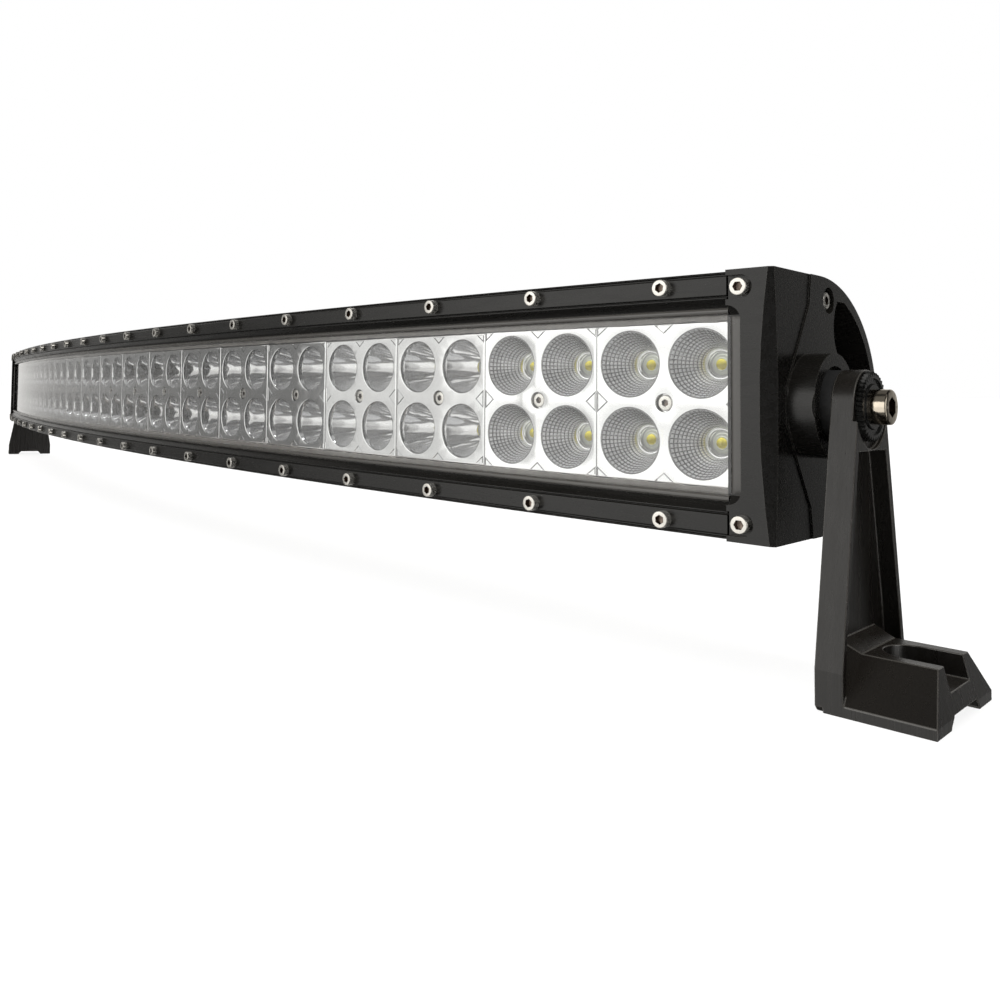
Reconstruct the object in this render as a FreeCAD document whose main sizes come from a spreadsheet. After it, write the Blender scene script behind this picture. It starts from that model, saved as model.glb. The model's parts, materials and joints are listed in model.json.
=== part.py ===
import FreeCAD, Part
import math
import os
import Sketcher

# Curved off-road LED light bar with two tilting side brackets.
# Frame: X along the bar (right end, seen from the front, at +X), front facing
# -Y, Z up, bracket feet standing on Z = 0. Millimetres.
#
# The bar is bent along a horizontal arc. Depths behind the arc through the
# front screw heads are called "depth"; heights are measured from the bar's
# middle plane. Each end cap has its own square frame: X outwards along the
# bar's end, Y backwards, Z up, with its origin on the joint with the housing.

os.makedirs("parts", exist_ok=True)
doc = FreeCAD.newDocument("LightBar")
V = FreeCAD.Vector
X_AXIS = V(1, 0, 0)
Z_AXIS = V(0, 0, 1)

DIMENSIONS = {
    # whole bar
    "face_radius": 2770.7,
    "arc_centre_back": 2708.067,
    "mid_height": 81.1,
    "block_pitch": 50.0,
    "screw_pitch": 50.36,
    "end_overhang": 20.3,
    # housing extrusion
    "bezel_half_height": 39.2,
    "seat_depth": 9.0,
    "tray_half_height": 25.4,
    "tray_floor_depth": 25.7,
    "chamber_depth": 30.8,
    "chamber_back": 48.0,
    "chamber_half_height": 22.0,
    "fin_root": 52.0,
    "fin_thickness": 2.4,
    "fin_pitch": 7.5,
    # bezels, lens and its gasket
    "screw_row": 35.4,
    "bezel_face": 2.8,
    "lip_half_height": 26.5,
    "lens_front": 5.9,
    "lens_thickness": 2.5,
    "lens_half_height": 28.6,
    "gasket_half_height": 24.7,
    "window_inset": 2.0,
    # reflectors and light boards
    "reflector_face": 9.6,
    "reflector_side": 49.4,
    "reflector_depth": 14.0,
    "cup_offset": 12.4,
    "flood_mouth": 10.6,
    "spot_mouth": 10.3,
    "cup_throat": 3.9,
    "board_front": 24.0,
    "board_thickness": 1.6,
    "board_half_height": 24.2,
    "led_side": 3.6,
    "led_base": 0.8,
    "dome_radius": 1.6,
    # end caps
    "cap_half_height": 39.4,
    "cap_face": 1.2,
    "cap_start": 0.5,
    "cap_width": 15.0,
    "crease_step": 0.5,
    "cap_ellipse_centre": 33.0,
    "cap_ellipse_depth": 46.0,
    "pivot_depth": 24.4,
    "boss_radius": 15.35,
    "boss_end": 22.4,
    "boss_recess_radius": 11.6,
    "boss_recess": 1.6,
    "window_edge": 4.9,
    "window_half_height": 29.0,
    "window_corner": 4.3,
    "ledge_depth": 4.3,
    "cap_screw_x": 4.6,
    "cap_screw_z": 34.2,
    "side_screw_depth": 39.4,
    "side_screw_z": 32.3,
    # pivot hardware
    "bolt_radius": 3.0,
    "bolt_head_radius": 5.0,
    "bolt_head": 4.5,
    "disc_radius": 9.9,
    "disc_thickness": 1.9,
    "seal_radius": 10.4,
    # brackets, measured from the pivot axis and the arm's inner face
    "bracket_gap": 25.05,
    "arm_thickness": 7.35,
    "arm_web": 2.6,
    "arm_flange": 2.6,
    "head_radius": 10.5,
    "head_thickness": 6.05,
    "foot_half_width": 23.6,
    "foot_length": 29.4,
    "foot_top_length": 26.6,
    "foot_height": 14.8,
    "foot_top_half_width": 12.6,
    "foot_lip": 2.9,
    "foot_start": 8.3,
    "ramp_height": 17.8,
    "ramp_half_width": 13.2,
    "slot_half_width": 8.2,
    "slot_floor": 8.4,
    "slot_centre": 18.0,
    "foot_hole_radius": 4.5,
    "channel_half_width": 12.2,
    "channel_depth": 3.2,
    # small fasteners
    "screw_radius": 1.5,
    "screw_head_radius": 2.6,
    "screw_head": 2.8,
    "screw_socket": 2.5,
    "hole_radius": 1.53,
    # cable gland and breather
    "port_angle": 5.5,
    "port_radius": 13.0,
    "port_back": 56.0,
    "port_clearance": 18.0,
    "gland_thread": 7.5,
    "gland_hex": 22.0,
    "cable_bore": 3.8,
}

SCREWS = 20
BLOCKS = 20
BOARDS = 4
FLOOD_BLOCKS = (1, 2, 19, 20)

sheet = doc.addObject("Spreadsheet::Sheet", "Dims")
for row, (name, value) in enumerate(DIMENSIONS.items(), start=1):
    sheet.set("A%d" % row, name)
    sheet.set("B%d" % row, str(value))
    sheet.setAlias("B%d" % row, name)
doc.recompute()


class Size:
    """A number together with the spreadsheet formula that gives it."""

    def __init__(self, value, text):
        self.value = float(value)
        self.text = text

    def join(self, other, sign, result, swap=False):
        text = other.text if isinstance(other, Size) else "(%r)" % float(other)
        left, right = (text, self.text) if swap else (self.text, text)
        return Size(result, "(%s %s %s)" % (left, sign, right))

    def __add__(self, other):
        return self.join(other, "+", self.value + number(other))

    def __radd__(self, other):
        return self.join(other, "+", self.value + number(other), swap=True)

    def __sub__(self, other):
        return self.join(other, "-", self.value - number(other))

    def __rsub__(self, other):
        return self.join(other, "-", number(other) - self.value, swap=True)

    def __mul__(self, other):
        return self.join(other, "*", self.value * number(other))

    def __rmul__(self, other):
        return self.join(other, "*", self.value * number(other), swap=True)

    def __truediv__(self, other):
        return self.join(other, "/", self.value / number(other))

    def __neg__(self):
        return Size(-self.value, "(0 - %s)" % self.text)


def number(item):
    return item.value if isinstance(item, Size) else float(item)


class Sizes:
    """Every driving dimension, read as an attribute."""


d = Sizes()
for name, value in DIMENSIONS.items():
    setattr(d, name, Size(value, "Dims." + name))


def bind(item, prop, size):
    """Set a property, tied to the spreadsheet when the size comes from it."""
    if isinstance(size, Size):
        item.setExpression(prop, size.text)
    else:
        setattr(item, prop, size)


def arc_angle(length):
    """Degrees that a length along the screw-face arc takes."""
    return length / d.face_radius * 57.29577951308232


END_ANGLE = arc_angle(d.screw_pitch * 9.5 + d.end_overhang)
BLOCK_ANGLE = arc_angle(d.block_pitch)
SCREW_ANGLE = arc_angle(d.screw_pitch)


def place(item, placement):
    item.Placement = placement
    return item


def turn(axis, angle):
    return FreeCAD.Rotation(axis, angle)


ARC = FreeCAD.Placement(V(0, d.arc_centre_back.value, d.mid_height.value), FreeCAD.Rotation())


def on_arc(angle, depth, height):
    """Frame at a bearing round the arc: X along the bar, Y backwards, Z up."""
    radius = d.face_radius.value - depth
    bearing = math.radians(angle)
    point = V(radius * math.sin(bearing), -radius * math.cos(bearing), height)
    return ARC * FreeCAD.Placement(point, turn(Z_AXIS, angle))


FACING_FRONT = FreeCAD.Placement(V(0, 0, 0), turn(X_AXIS, 90))
FACING_BACK = FreeCAD.Placement(V(0, 0, 0), turn(X_AXIS, -90))
FACING_RIGHT = FreeCAD.Placement(V(0, 0, 0), turn(V(0, 1, 0), 90))
CAP = on_arc(END_ANGLE.value, 0, 0)
PIVOT = CAP * FreeCAD.Placement(V(0, d.pivot_depth.value, 0), FreeCAD.Rotation())


# ---------------------------------------------------------------- sketches

def origin_plane(body, role):
    for item in body.Origin.OriginFeatures:
        if item.Role == role:
            return item
    raise ValueError(role)


def add_outline(sketch, corners):
    """Closed outline through corners given as (across, up) sizes."""
    first = sketch.GeometryCount
    points = [V(number(a), number(b), 0) for a, b in corners]
    count = len(points)
    for i in range(count):
        sketch.addGeometry(Part.LineSegment(points[i], points[(i + 1) % count]), False)
    for i in range(count):
        after = first + (i + 1) % count
        sketch.addConstraint(Sketcher.Constraint("Coincident", first + i, 2, after, 1))
    for i, (a, b) in enumerate(corners):
        for kind, axis, size in (("DistanceX", -2, a), ("DistanceY", -1, b)):
            if abs(number(size)) < 1e-9:
                sketch.addConstraint(Sketcher.Constraint("PointOnObject", first + i, 1, axis))
                continue
            rule = sketch.addConstraint(Sketcher.Constraint(kind, first + i, 1, number(size)))
            if isinstance(size, Size):
                sketch.setExpression("Constraints[%d]" % rule, size.text)


def add_circle(sketch, across, up, radius):
    centre = V(number(across), number(up), 0)
    index = sketch.addGeometry(Part.Circle(centre, Z_AXIS, number(radius)), False)
    for kind, axis, size in (("DistanceX", -2, across), ("DistanceY", -1, up)):
        if abs(number(size)) < 1e-9:
            sketch.addConstraint(Sketcher.Constraint("PointOnObject", index, 3, axis))
            continue
        rule = sketch.addConstraint(Sketcher.Constraint(kind, index, 3, number(size)))
        if isinstance(size, Size):
            sketch.setExpression("Constraints[%d]" % rule, size.text)
    rule = sketch.addConstraint(Sketcher.Constraint("Radius", index, number(radius)))
    if isinstance(radius, Size):
        sketch.setExpression("Constraints[%d]" % rule, radius.text)


def new_body(label):
    body = doc.addObject("PartDesign::Body", label)
    body.Label = label
    return body


def new_sketch(body, role, offset=0.0):
    sketch = body.newObject("Sketcher::SketchObject", "Sketch")
    sketch.AttachmentSupport = [(origin_plane(body, role), "")]
    sketch.MapMode = "FlatFace"
    sketch.AttachmentOffset = FreeCAD.Placement(V(0, 0, number(offset)), FreeCAD.Rotation())
    if isinstance(offset, Size):
        sketch.setExpression("AttachmentOffset.Base.z", offset.text)
    return sketch


def add_path(sketch, pieces):
    """Closed path of straight pieces (two points) and arcs (three points)."""
    for piece in pieces:
        points = [V(number(a), number(b), 0) for a, b in piece]
        if len(points) == 2:
            sketch.addGeometry(Part.LineSegment(*points), False)
        else:
            sketch.addGeometry(Part.Arc(*points), False)


def pad(body, sketch, length, both=False):
    feature = body.newObject("PartDesign::Pad", "Pad")
    feature.Profile = sketch
    feature.Midplane = both
    bind(feature, "Length", length)
    return feature


def pocket(body, sketch, length, ahead=False, both=False):
    """Cut behind the sketch, ahead of it (along its normal), or to both sides."""
    doc.recompute()
    before = body.Shape.Volume
    feature = body.newObject("PartDesign::Pocket", "Pocket")
    feature.Profile = sketch
    feature.Reversed = ahead
    feature.Midplane = both
    bind(feature, "Length", length)
    doc.recompute()
    if not body.Shape.Volume < before - 0.01:
        raise ValueError("pocket cuts nothing in " + body.Label)
    return feature


def revolve(body, sketch, angle, kind="PartDesign::Revolution"):
    """Sweep a profile round the body's Z axis, half to each side."""
    feature = body.newObject(kind, "Sweep")
    feature.Profile = sketch
    feature.ReferenceAxis = (sketch, ["V_Axis"])
    feature.Midplane = True
    bind(feature, "Angle", angle)
    doc.recompute()
    return feature


def arc_point(depth, height):
    """Profile point at a depth behind the screw faces."""
    return (depth - d.face_radius, height)


def bent_strip(label, corners, half_angle):
    """A constant profile bent along the bar's arc."""
    body = new_body(label)
    sketch = new_sketch(body, "YZ_Plane")
    add_outline(sketch, [arc_point(a, b) for a, b in corners])
    revolve(body, sketch, half_angle * 2)
    return place(body, ARC)


# ------------------------------------------------------------ combinations

def combine(kind, label, items):
    """Boolean of whole objects; kind is Cut, MultiFuse or MultiCommon."""
    result = doc.addObject("Part::" + kind, label)
    result.Label = label
    if kind == "Cut":
        result.Base, result.Tool = items
    else:
        result.Shapes = items
    return result


def cylinder(label, radius, height, placement):
    item = doc.addObject("Part::Cylinder", label)
    bind(item, "Radius", radius)
    bind(item, "Height", height)
    return place(item, placement)


def prism(label, across_flats, height, placement):
    item = doc.addObject("Part::Prism", label)
    item.Polygon = 6
    bind(item, "Circumradius", across_flats / math.sqrt(3))
    bind(item, "Height", height)
    return place(item, placement)


def box(label, sizes, placement):
    item = doc.addObject("Part::Box", label)
    for prop, size in zip(("Length", "Width", "Height"), sizes):
        bind(item, prop, size)
    return place(item, placement)


def mirrored(label, source):
    """The same part for the bar's left end."""
    item = doc.addObject("Part::Mirroring", label)
    item.Label = label
    item.Source = source
    item.Base = V(0, 0, 0)
    item.Normal = X_AXIS
    return item


def repeated(label, source, placements):
    """Identical pieces set out at several places, kept together as one group."""
    doc.recompute()
    item = doc.addObject("Part::Feature", label)
    item.Label = label
    shapes = []
    for placement in placements:
        shape = source.Shape.copy()
        shape.Placement = placement * source.Placement
        shapes.append(shape)
    item.Shape = Part.makeCompound(shapes)
    return item


def socket_screw(label, head_radius, head, radius, length, across_flats):
    """Socket-head screw along -Z with its head face at Z = 0."""
    body = new_body(label)
    sketch = new_sketch(body, "XZ_Plane")
    bevel = 0.35
    add_outline(sketch, [
        (0, 0),
        (head_radius - bevel, 0),
        (head_radius, -bevel),
        (head_radius, -head),
        (radius, -head),
        (radius, -(length + head) + bevel),
        (radius - bevel, -(length + head)),
        (0, -(length + head)),
    ])
    revolve(body, sketch, 360.0)
    hexagon = new_sketch(body, "XY_Plane")
    reach = across_flats / math.sqrt(3)
    corners = []
    for k in range(6):
        bearing = math.radians(60 * k)
        corners.append((reach * math.cos(bearing), reach * math.sin(bearing)))
    add_outline(hexagon, corners)
    pocket(body, hexagon, head * 0.62)
    return body


# ------------------------------------------------------- housing extrusion

def fin_tip(height):
    """Depth of the fin envelope, just inside the end caps' rounded outline."""
    reach = (d.cap_ellipse_depth.value - 1.5) * math.sqrt(1 - (height / 38.0) ** 2)
    return d.cap_ellipse_centre.value + reach


def housing_profile():
    """Outer outline from the top front corner round the fins to the bottom."""
    top = d.bezel_half_height
    corners = [
        (d.seat_depth, top),
        (31.0, top),
        (41.0, 38.3),
        (48.7, 36.6),
        (d.fin_root, 34.0),
    ]
    for index in range(4, -5, -1):
        middle = d.fin_pitch * index
        tip = fin_tip(abs(index) * d.fin_pitch.value)
        upper = middle + d.fin_thickness / 2
        lower = middle - d.fin_thickness / 2
        corners += [(d.fin_root, upper), (tip - 1.0, upper), (tip, upper - 0.6)]
        corners += [(tip, lower + 0.6), (tip - 1.0, lower), (d.fin_root, lower)]
    corners += [
        (d.fin_root, -34.0),
        (48.7, -36.6),
        (41.0, -38.3),
        (31.0, -top),
        (d.seat_depth, -top),
        (d.seat_depth, -29.0),
        (d.seat_depth + 0.6, -29.0),
        (d.seat_depth + 0.6, -d.tray_half_height),
        (d.tray_floor_depth, -d.tray_half_height),
        (d.tray_floor_depth, d.tray_half_height),
        (d.seat_depth + 0.6, d.tray_half_height),
        (d.seat_depth + 0.6, 29.0),
        (d.seat_depth, 29.0),
    ]
    return corners


extrusion = bent_strip("housing_extrusion", housing_profile(), END_ANGLE)
chamber = bent_strip("driver_chamber", [
    (d.chamber_depth, -d.chamber_half_height),
    (d.chamber_back, -d.chamber_half_height),
    (d.chamber_back, d.chamber_half_height),
    (d.chamber_depth, d.chamber_half_height),
], END_ANGLE + 1.0)

SCREW_STEPS = [k - (SCREWS - 1) / 2 for k in range(SCREWS)]
BLOCK_STEPS = [k - (BLOCKS - 1) / 2 for k in range(BLOCKS)]


def screw_places(depth, height):
    return [on_arc(SCREW_ANGLE.value * k, depth, height) for k in SCREW_STEPS]


def block_places(depth):
    return [on_arc(BLOCK_ANGLE.value * k, depth, 0) for k in BLOCK_STEPS]


def drill(label, radius, length, places, facing=FACING_BACK):
    """Cylinders starting at each place and running the way they face."""
    tool = cylinder(label + "_drill", radius, length, facing)
    return repeated(label, tool, places)


row = d.screw_row.value
bezel_drill = drill("bezel_drill", d.hole_radius, 19.0,
                    screw_places(-1, row) + screw_places(-1, -row))
block_drill = drill("block_drill", d.hole_radius, 7.0, block_places(d.tray_floor_depth.value - 1))

SIDE_SCREWS = [
    CAP * FreeCAD.Placement(V(0, d.side_screw_depth.value, z), FreeCAD.Rotation())
    for z in (d.side_screw_z.value, -d.side_screw_z.value)
]
INTO_BAR = FreeCAD.Placement(V(1, 0, 0), turn(V(0, 1, 0), -90))
right_end_drill = drill("right_end_drill", d.hole_radius, 9.0, SIDE_SCREWS, INTO_BAR)
left_end_drill = mirrored("left_end_drill", right_end_drill)

GLAND = on_arc(d.port_angle.value, 0, 0)
VENT = on_arc(-d.port_angle.value, 0, 0)


def port_cylinder(label, port, radius, start, end):
    placement = port * FreeCAD.Placement(V(0, number(start), 0), turn(X_AXIS, -90))
    return cylinder(label, radius, end - start, placement)


finless = combine("Cut", "finless_ports", (extrusion, combine("MultiFuse", "port_reliefs", [
    port_cylinder("gland_relief", GLAND, d.port_clearance, d.fin_root, 90.0),
    port_cylinder("vent_relief", VENT, d.port_clearance, d.fin_root, 90.0),
])))
bossed = combine("MultiFuse", "bossed_extrusion", [
    finless,
    port_cylinder("gland_pad", GLAND, d.port_radius, d.fin_root - 2, d.port_back),
    port_cylinder("vent_pad", VENT, d.port_radius, d.fin_root - 2, d.port_back),
])
hollow = combine("Cut", "hollow_extrusion", (bossed, chamber))
housing = combine("Cut", "housing", (hollow, combine("MultiFuse", "housing_holes", [
    bezel_drill,
    block_drill,
    right_end_drill,
    left_end_drill,
    port_cylinder("gland_hole", GLAND, d.gland_thread + 0.04, d.chamber_back - 2, 60.0),
    port_cylinder("vent_hole", VENT, 5.94, d.chamber_back - 2, 60.0),
])))

# ------------------------------------------------ bezels, lens and gasket

def bezel_profile(side):
    """Front strip: lens lip, sloped recess, ridge, flat screw face, edge groove."""
    lip = d.lip_half_height
    edge = d.bezel_half_height
    face = d.bezel_face
    rows = [
        (d.lens_front - 0.1, lip),
        (4.6, lip),
        (3.9, lip + 0.4),
        (3.8, lip + 1.2),
        (4.3, lip + 1.8),
        (5.0, lip + 2.2),
        (3.3, lip + 4.4),
        (3.0, lip + 4.7),
        (3.0, lip + 5.0),
        (3.7, lip + 5.1),
        (3.7, lip + 5.4),
        (face, lip + 5.5),
        (face, edge - 1.4),
        (4.1, edge - 1.3),
        (4.1, edge - 0.6),
        (3.6, edge - 0.4),
        (4.4, edge),
        (d.seat_depth - 0.05, edge),
        (d.seat_depth - 0.05, d.lens_half_height + 0.3),
        (d.lens_front - 0.1, d.lens_half_height + 0.3),
    ]
    if side > 0:
        return rows
    return [(depth, -height) for depth, height in rows]


top_bezel = combine("Cut", "top_bezel", (
    bent_strip("top_strip", bezel_profile(1), END_ANGLE), bezel_drill))
bottom_bezel = combine("Cut", "bottom_bezel", (
    bent_strip("bottom_strip", bezel_profile(-1), END_ANGLE), bezel_drill))

LENS_ANGLE = END_ANGLE + arc_angle(d.cap_start + 5.8)


def flat_ring(front, back, half_height):
    return [(front, -half_height), (back, -half_height), (back, half_height), (front, half_height)]


lens_back = d.lens_front + d.lens_thickness
lens = bent_strip("lens", flat_ring(d.lens_front, lens_back, d.lens_half_height), LENS_ANGLE)
gasket_blank = bent_strip(
    "gasket_blank",
    flat_ring(lens_back + 0.05, d.reflector_face - 0.1, d.lens_half_height),
    LENS_ANGLE,
)
gasket_window = bent_strip(
    "gasket_window",
    flat_ring(lens_back - 1, d.reflector_face + 1, d.gasket_half_height),
    END_ANGLE - arc_angle(d.window_inset),
)
lens_gasket = combine("Cut", "lens_gasket", (gasket_blank, gasket_window))

# ------------------------------------------------------------- reflectors

def cup(label, mouth, wall, overrun):
    """Curved bowl opening along +Z with its rim at Z = 0, thickened by a wall.

    The bowl that is cut out runs on past both ends; the skin left round it
    stops just behind the rim.
    """
    body = new_body(label)
    sketch = new_sketch(body, "XZ_Plane")
    wide = mouth.value + wall
    narrow = d.cup_throat.value + wall
    rim = 0.0 if overrun else -0.4
    throat = -d.reflector_depth.value
    bulge = (narrow + (wide - narrow) * 0.69, throat / 2)
    corners = [
        (narrow, throat), (narrow, throat - overrun), (0, throat - overrun),
        (0, rim + overrun), (wide, rim + overrun), (wide, rim),
    ]
    straight = [[a, b] for a, b in zip(corners, corners[1:]) if a != b]
    add_path(sketch, [[(wide, rim), bulge, (narrow, throat)]] + straight)
    revolve(body, sketch, 360.0)
    return body


def four(label, source):
    """One piece at each corner of a block."""
    corners = []
    for x in (-1, 1):
        for z in (-1, 1):
            place_at = V(x * d.cup_offset.value, 0, z * d.cup_offset.value)
            corners.append(FreeCAD.Placement(place_at, FreeCAD.Rotation()) * FACING_FRONT)
    return repeated(label, source, corners)


def reflector_block(label, mouth):
    side = d.reflector_side
    half = side.value / 2
    plate = box(label + "_plate", (side, 1.6, side),
                FreeCAD.Placement(V(-half, 0, -half), FreeCAD.Rotation()))
    post = cylinder(label + "_post", 3.6, d.reflector_depth, FACING_BACK)
    skins = four(label + "_skins", cup(label + "_skin", mouth, 0.9, 0))
    bowls = four(label + "_bowls", cup(label + "_bowl", mouth, 0.0, 1.0))
    solid = combine("MultiFuse", label + "_solid", [plate, post, skins])
    seat = cylinder(label + "_seat", 2.85, 2.4,
                    FreeCAD.Placement(V(0, 0, 0), turn(X_AXIS, -90)))
    bore = cylinder(label + "_bore", d.hole_radius, 30.0,
                    FreeCAD.Placement(V(0, -1, 0), turn(X_AXIS, -90)))
    return combine("Cut", label, (solid, combine("MultiFuse", label + "_cuts", [bowls, seat, bore])))


flood_block = reflector_block("flood_block", d.flood_mouth)
spot_block = reflector_block("spot_block", d.spot_mouth)

reflectors = []
for index, placement in enumerate(block_places(d.reflector_face.value), start=1):
    reflector = doc.addObject("Part::Compound", "reflector_%02d" % index)
    reflector.Label = "reflector_%02d" % index
    reflector.Links = [flood_block if index in FLOOD_BLOCKS else spot_block]
    reflectors.append(place(reflector, placement))

block_screw = place(socket_screw("block_screw", 2.7, 1.8, d.screw_radius, 18.0, 2.0), FACING_FRONT)
reflector_screws = repeated("reflector_screws", block_screw,
                            block_places(d.reflector_face.value + 0.6))

# ------------------------------------------------- light boards and LEDs

def led(label):
    """Square ceramic base with its phosphor dome, facing the front."""
    base = box(label + "_base", (d.led_side, d.led_base, d.led_side),
               FreeCAD.Placement(V(-1.8, -0.8, -1.8), FreeCAD.Rotation()))
    dome = doc.addObject("Part::Sphere", label + "_dome")
    bind(dome, "Radius", d.dome_radius)
    dome.Angle1 = 0
    place(dome, FreeCAD.Placement(V(0, -d.led_base.value, 0), turn(X_AXIS, 90)))
    return combine("MultiFuse", label, [base, dome])


chip = led("led")
boards = []
chip_groups = []
per_board = BLOCKS // BOARDS
for index in range(BOARDS):
    steps = BLOCK_STEPS[index * per_board:(index + 1) * per_board]
    middle = BLOCK_ANGLE.value * sum(steps) / per_board
    strip = bent_strip("board_strip_%d" % (index + 1), flat_ring(
        d.board_front, d.board_front + d.board_thickness, d.board_half_height,
    ), BLOCK_ANGLE * (per_board / 2) - 0.01)
    place(strip, ARC * FreeCAD.Placement(V(0, 0, 0), turn(Z_AXIS, middle)))
    board_drill = drill("board_drill_%d" % (index + 1), 2.0, 4.0,
                        [on_arc(BLOCK_ANGLE.value * k, d.board_front.value - 1, 0) for k in steps])
    boards.append(combine("Cut", "led_board_%d" % (index + 1), (strip, board_drill)))
    chip_places = []
    for k in steps:
        for x in (-1, 1):
            for z in (-1, 1):
                corner = V(x * d.cup_offset.value, 0, z * d.cup_offset.value)
                frame = on_arc(BLOCK_ANGLE.value * k, d.board_front.value - 0.02, 0)
                chip_places.append(frame * FreeCAD.Placement(corner, FreeCAD.Rotation()))
    chip_groups.append(repeated("led_chips_%d" % (index + 1), chip, chip_places))

# ---------------------------------------------------------------- end cap

def cap_outline(sketch, inset=0.0):
    """Flat front, straight top and bottom, half-ellipse at the back."""
    half = d.cap_half_height.value - inset
    centre = d.cap_ellipse_centre.value
    reach = d.cap_ellipse_depth.value - inset
    front = d.cap_face.value + inset
    ellipse = Part.Ellipse(V(centre, 0, 0), reach, half)
    sketch.addGeometry(Part.ArcOfEllipse(ellipse, -math.pi / 2, math.pi / 2), False)
    add_path(sketch, [
        [(centre, half), (front, half)],
        [(front, half), (front, -half)],
        [(front, -half), (centre, -half)],
    ])


def rear_pocket(sketch, side):
    """Recess behind the side screw: round at the front, following the rim behind."""
    rim = []
    for step in range(8):
        height = 32.5 - step * 3.6
        reach = (d.cap_ellipse_depth.value - 3.2) * math.sqrt(1 - (height / 36.2) ** 2)
        rim.append((d.cap_ellipse_centre.value + reach, height * side))
    start = (46.1, 32.5 * side)
    end = (45.8, 16.0 * side)
    pieces = [[start, (43.0, 24.0 * side), end]]
    chain = [end, (50.0, 9.0 * side), (60.0, 7.3 * side)] + rim[::-1] + [start]
    for a, b in zip(chain, chain[1:]):
        pieces.append([a, b])
    add_path(sketch, pieces)


def end_cap(label):
    body = new_body(label)
    blank = new_sketch(body, "YZ_Plane", d.cap_start)
    cap_outline(blank)
    pad(body, blank, d.cap_width - d.cap_start)

    # the forward part of the side steps down along a crease that meets the boss
    step = new_sketch(body, "YZ_Plane", d.cap_width)
    add_outline(step, [
        (-5, -45), (26.8, -45), (26.3, -38), (25.0, -30), (9.3, -5.5),
        (9.3, 5.5), (25.0, 30), (26.3, 38), (26.8, 45), (-5, 45),
    ])
    pocket(body, step, d.crease_step)
    for side in (-1, 1):
        recess = new_sketch(body, "YZ_Plane", d.cap_width)
        rear_pocket(recess, side)
        pocket(body, recess, 10.0)

    boss = new_sketch(body, "YZ_Plane", d.cap_width - 2)
    add_circle(boss, d.pivot_depth, 0, d.boss_radius)
    pad(body, boss, d.boss_end - d.cap_width + 2)
    seat = new_sketch(body, "YZ_Plane", d.boss_end)
    add_circle(seat, d.pivot_depth, 0, d.boss_recess_radius)
    pocket(body, seat, d.boss_recess)
    thread = new_sketch(body, "YZ_Plane", d.boss_end)
    add_circle(thread, d.pivot_depth, 0, d.bolt_radius + 0.03)
    pocket(body, thread, d.boss_end - 8.2)

    # hollow that takes the ends of the lens, gasket and last reflector
    hollow = new_sketch(body, "YZ_Plane", d.cap_start)
    add_outline(hollow, [
        (d.lens_front - 0.1, -29.2), (30.0, -29.2), (30.0, 29.2), (d.lens_front - 0.1, 29.2),
    ])
    pocket(body, hollow, 7.0, ahead=True)

    # opening round the lens, with a ledge over the lens's end and sloped corners
    window = new_sketch(body, "XZ_Plane")
    edge = d.window_edge.value
    tall = d.window_half_height.value
    corner = d.window_corner.value
    turn_at = (edge - corner, tall - corner)
    bow = corner * math.sqrt(0.5)
    add_path(window, [
        [(-1, -tall), (turn_at[0], -tall)],
        [(turn_at[0], -tall), (turn_at[0] + bow, -turn_at[1] - bow), (edge, -turn_at[1])],
        [(edge, -turn_at[1]), (edge, turn_at[1])],
        [(edge, turn_at[1]), (turn_at[0] + bow, turn_at[1] + bow), (turn_at[0], tall)],
        [(turn_at[0], tall), (-1, tall)],
        [(-1, tall), (-1, -tall)],
    ])
    pocket(body, window, d.ledge_depth)
    for side in (-1, 1):
        ramp = new_sketch(body, "YZ_Plane", d.cap_start)
        add_outline(ramp, [
            (d.ledge_depth + 0.1, side * 26.1), (2.6, side * 29.1), (d.ledge_depth + 0.1, side * 29.1),
        ])
        pad(body, ramp, d.window_edge + 0.2 - d.cap_start)
    for side in (-1, 1):
        height = d.cap_screw_z.value * side
        slot = new_sketch(body, "XZ_Plane")
        add_path(slot, [
            [(-1, height - 3.5), (4.9, height - 3.5)],
            [(4.9, height - 3.5), (8.4, height), (4.9, height + 3.5)],
            [(4.9, height + 3.5), (-1, height + 3.5)],
            [(-1, height + 3.5), (-1, height - 3.5)],
        ])
        pocket(body, slot, 3.0)
        hole = new_sketch(body, "XZ_Plane")
        add_circle(hole, d.cap_screw_x, d.cap_screw_z * side, d.hole_radius)
        pocket(body, hole, 18.0)
        sink = new_sketch(body, "YZ_Plane", d.cap_width)
        add_circle(sink, d.side_screw_depth, d.side_screw_z * side, 4.1)
        pocket(body, sink, 3.4)
        shank = new_sketch(body, "YZ_Plane", d.cap_width)
        add_circle(shank, d.side_screw_depth, d.side_screw_z * side, d.hole_radius)
        pocket(body, shank, 16.0)

    # shallow scoop that turns the front face into the side
    slope = math.radians(34.8)
    radius = 504.0
    axis = V(math.cos(slope), math.sin(slope), 0)
    outward = V(math.sin(slope), -math.cos(slope), 0)
    foot = V(10.4, d.cap_face.value, 0)
    scoop = body.newObject("PartDesign::SubtractiveCylinder", "Scoop")
    scoop.Radius = radius
    scoop.Height = 60
    scoop.Placement = FreeCAD.Placement(
        foot + outward * radius - axis * 30, FreeCAD.Rotation(Z_AXIS, axis))
    doc.recompute()
    return place(body, CAP)


right_end_cap = end_cap("right_end_cap")
left_end_cap = mirrored("left_end_cap", right_end_cap)


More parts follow.
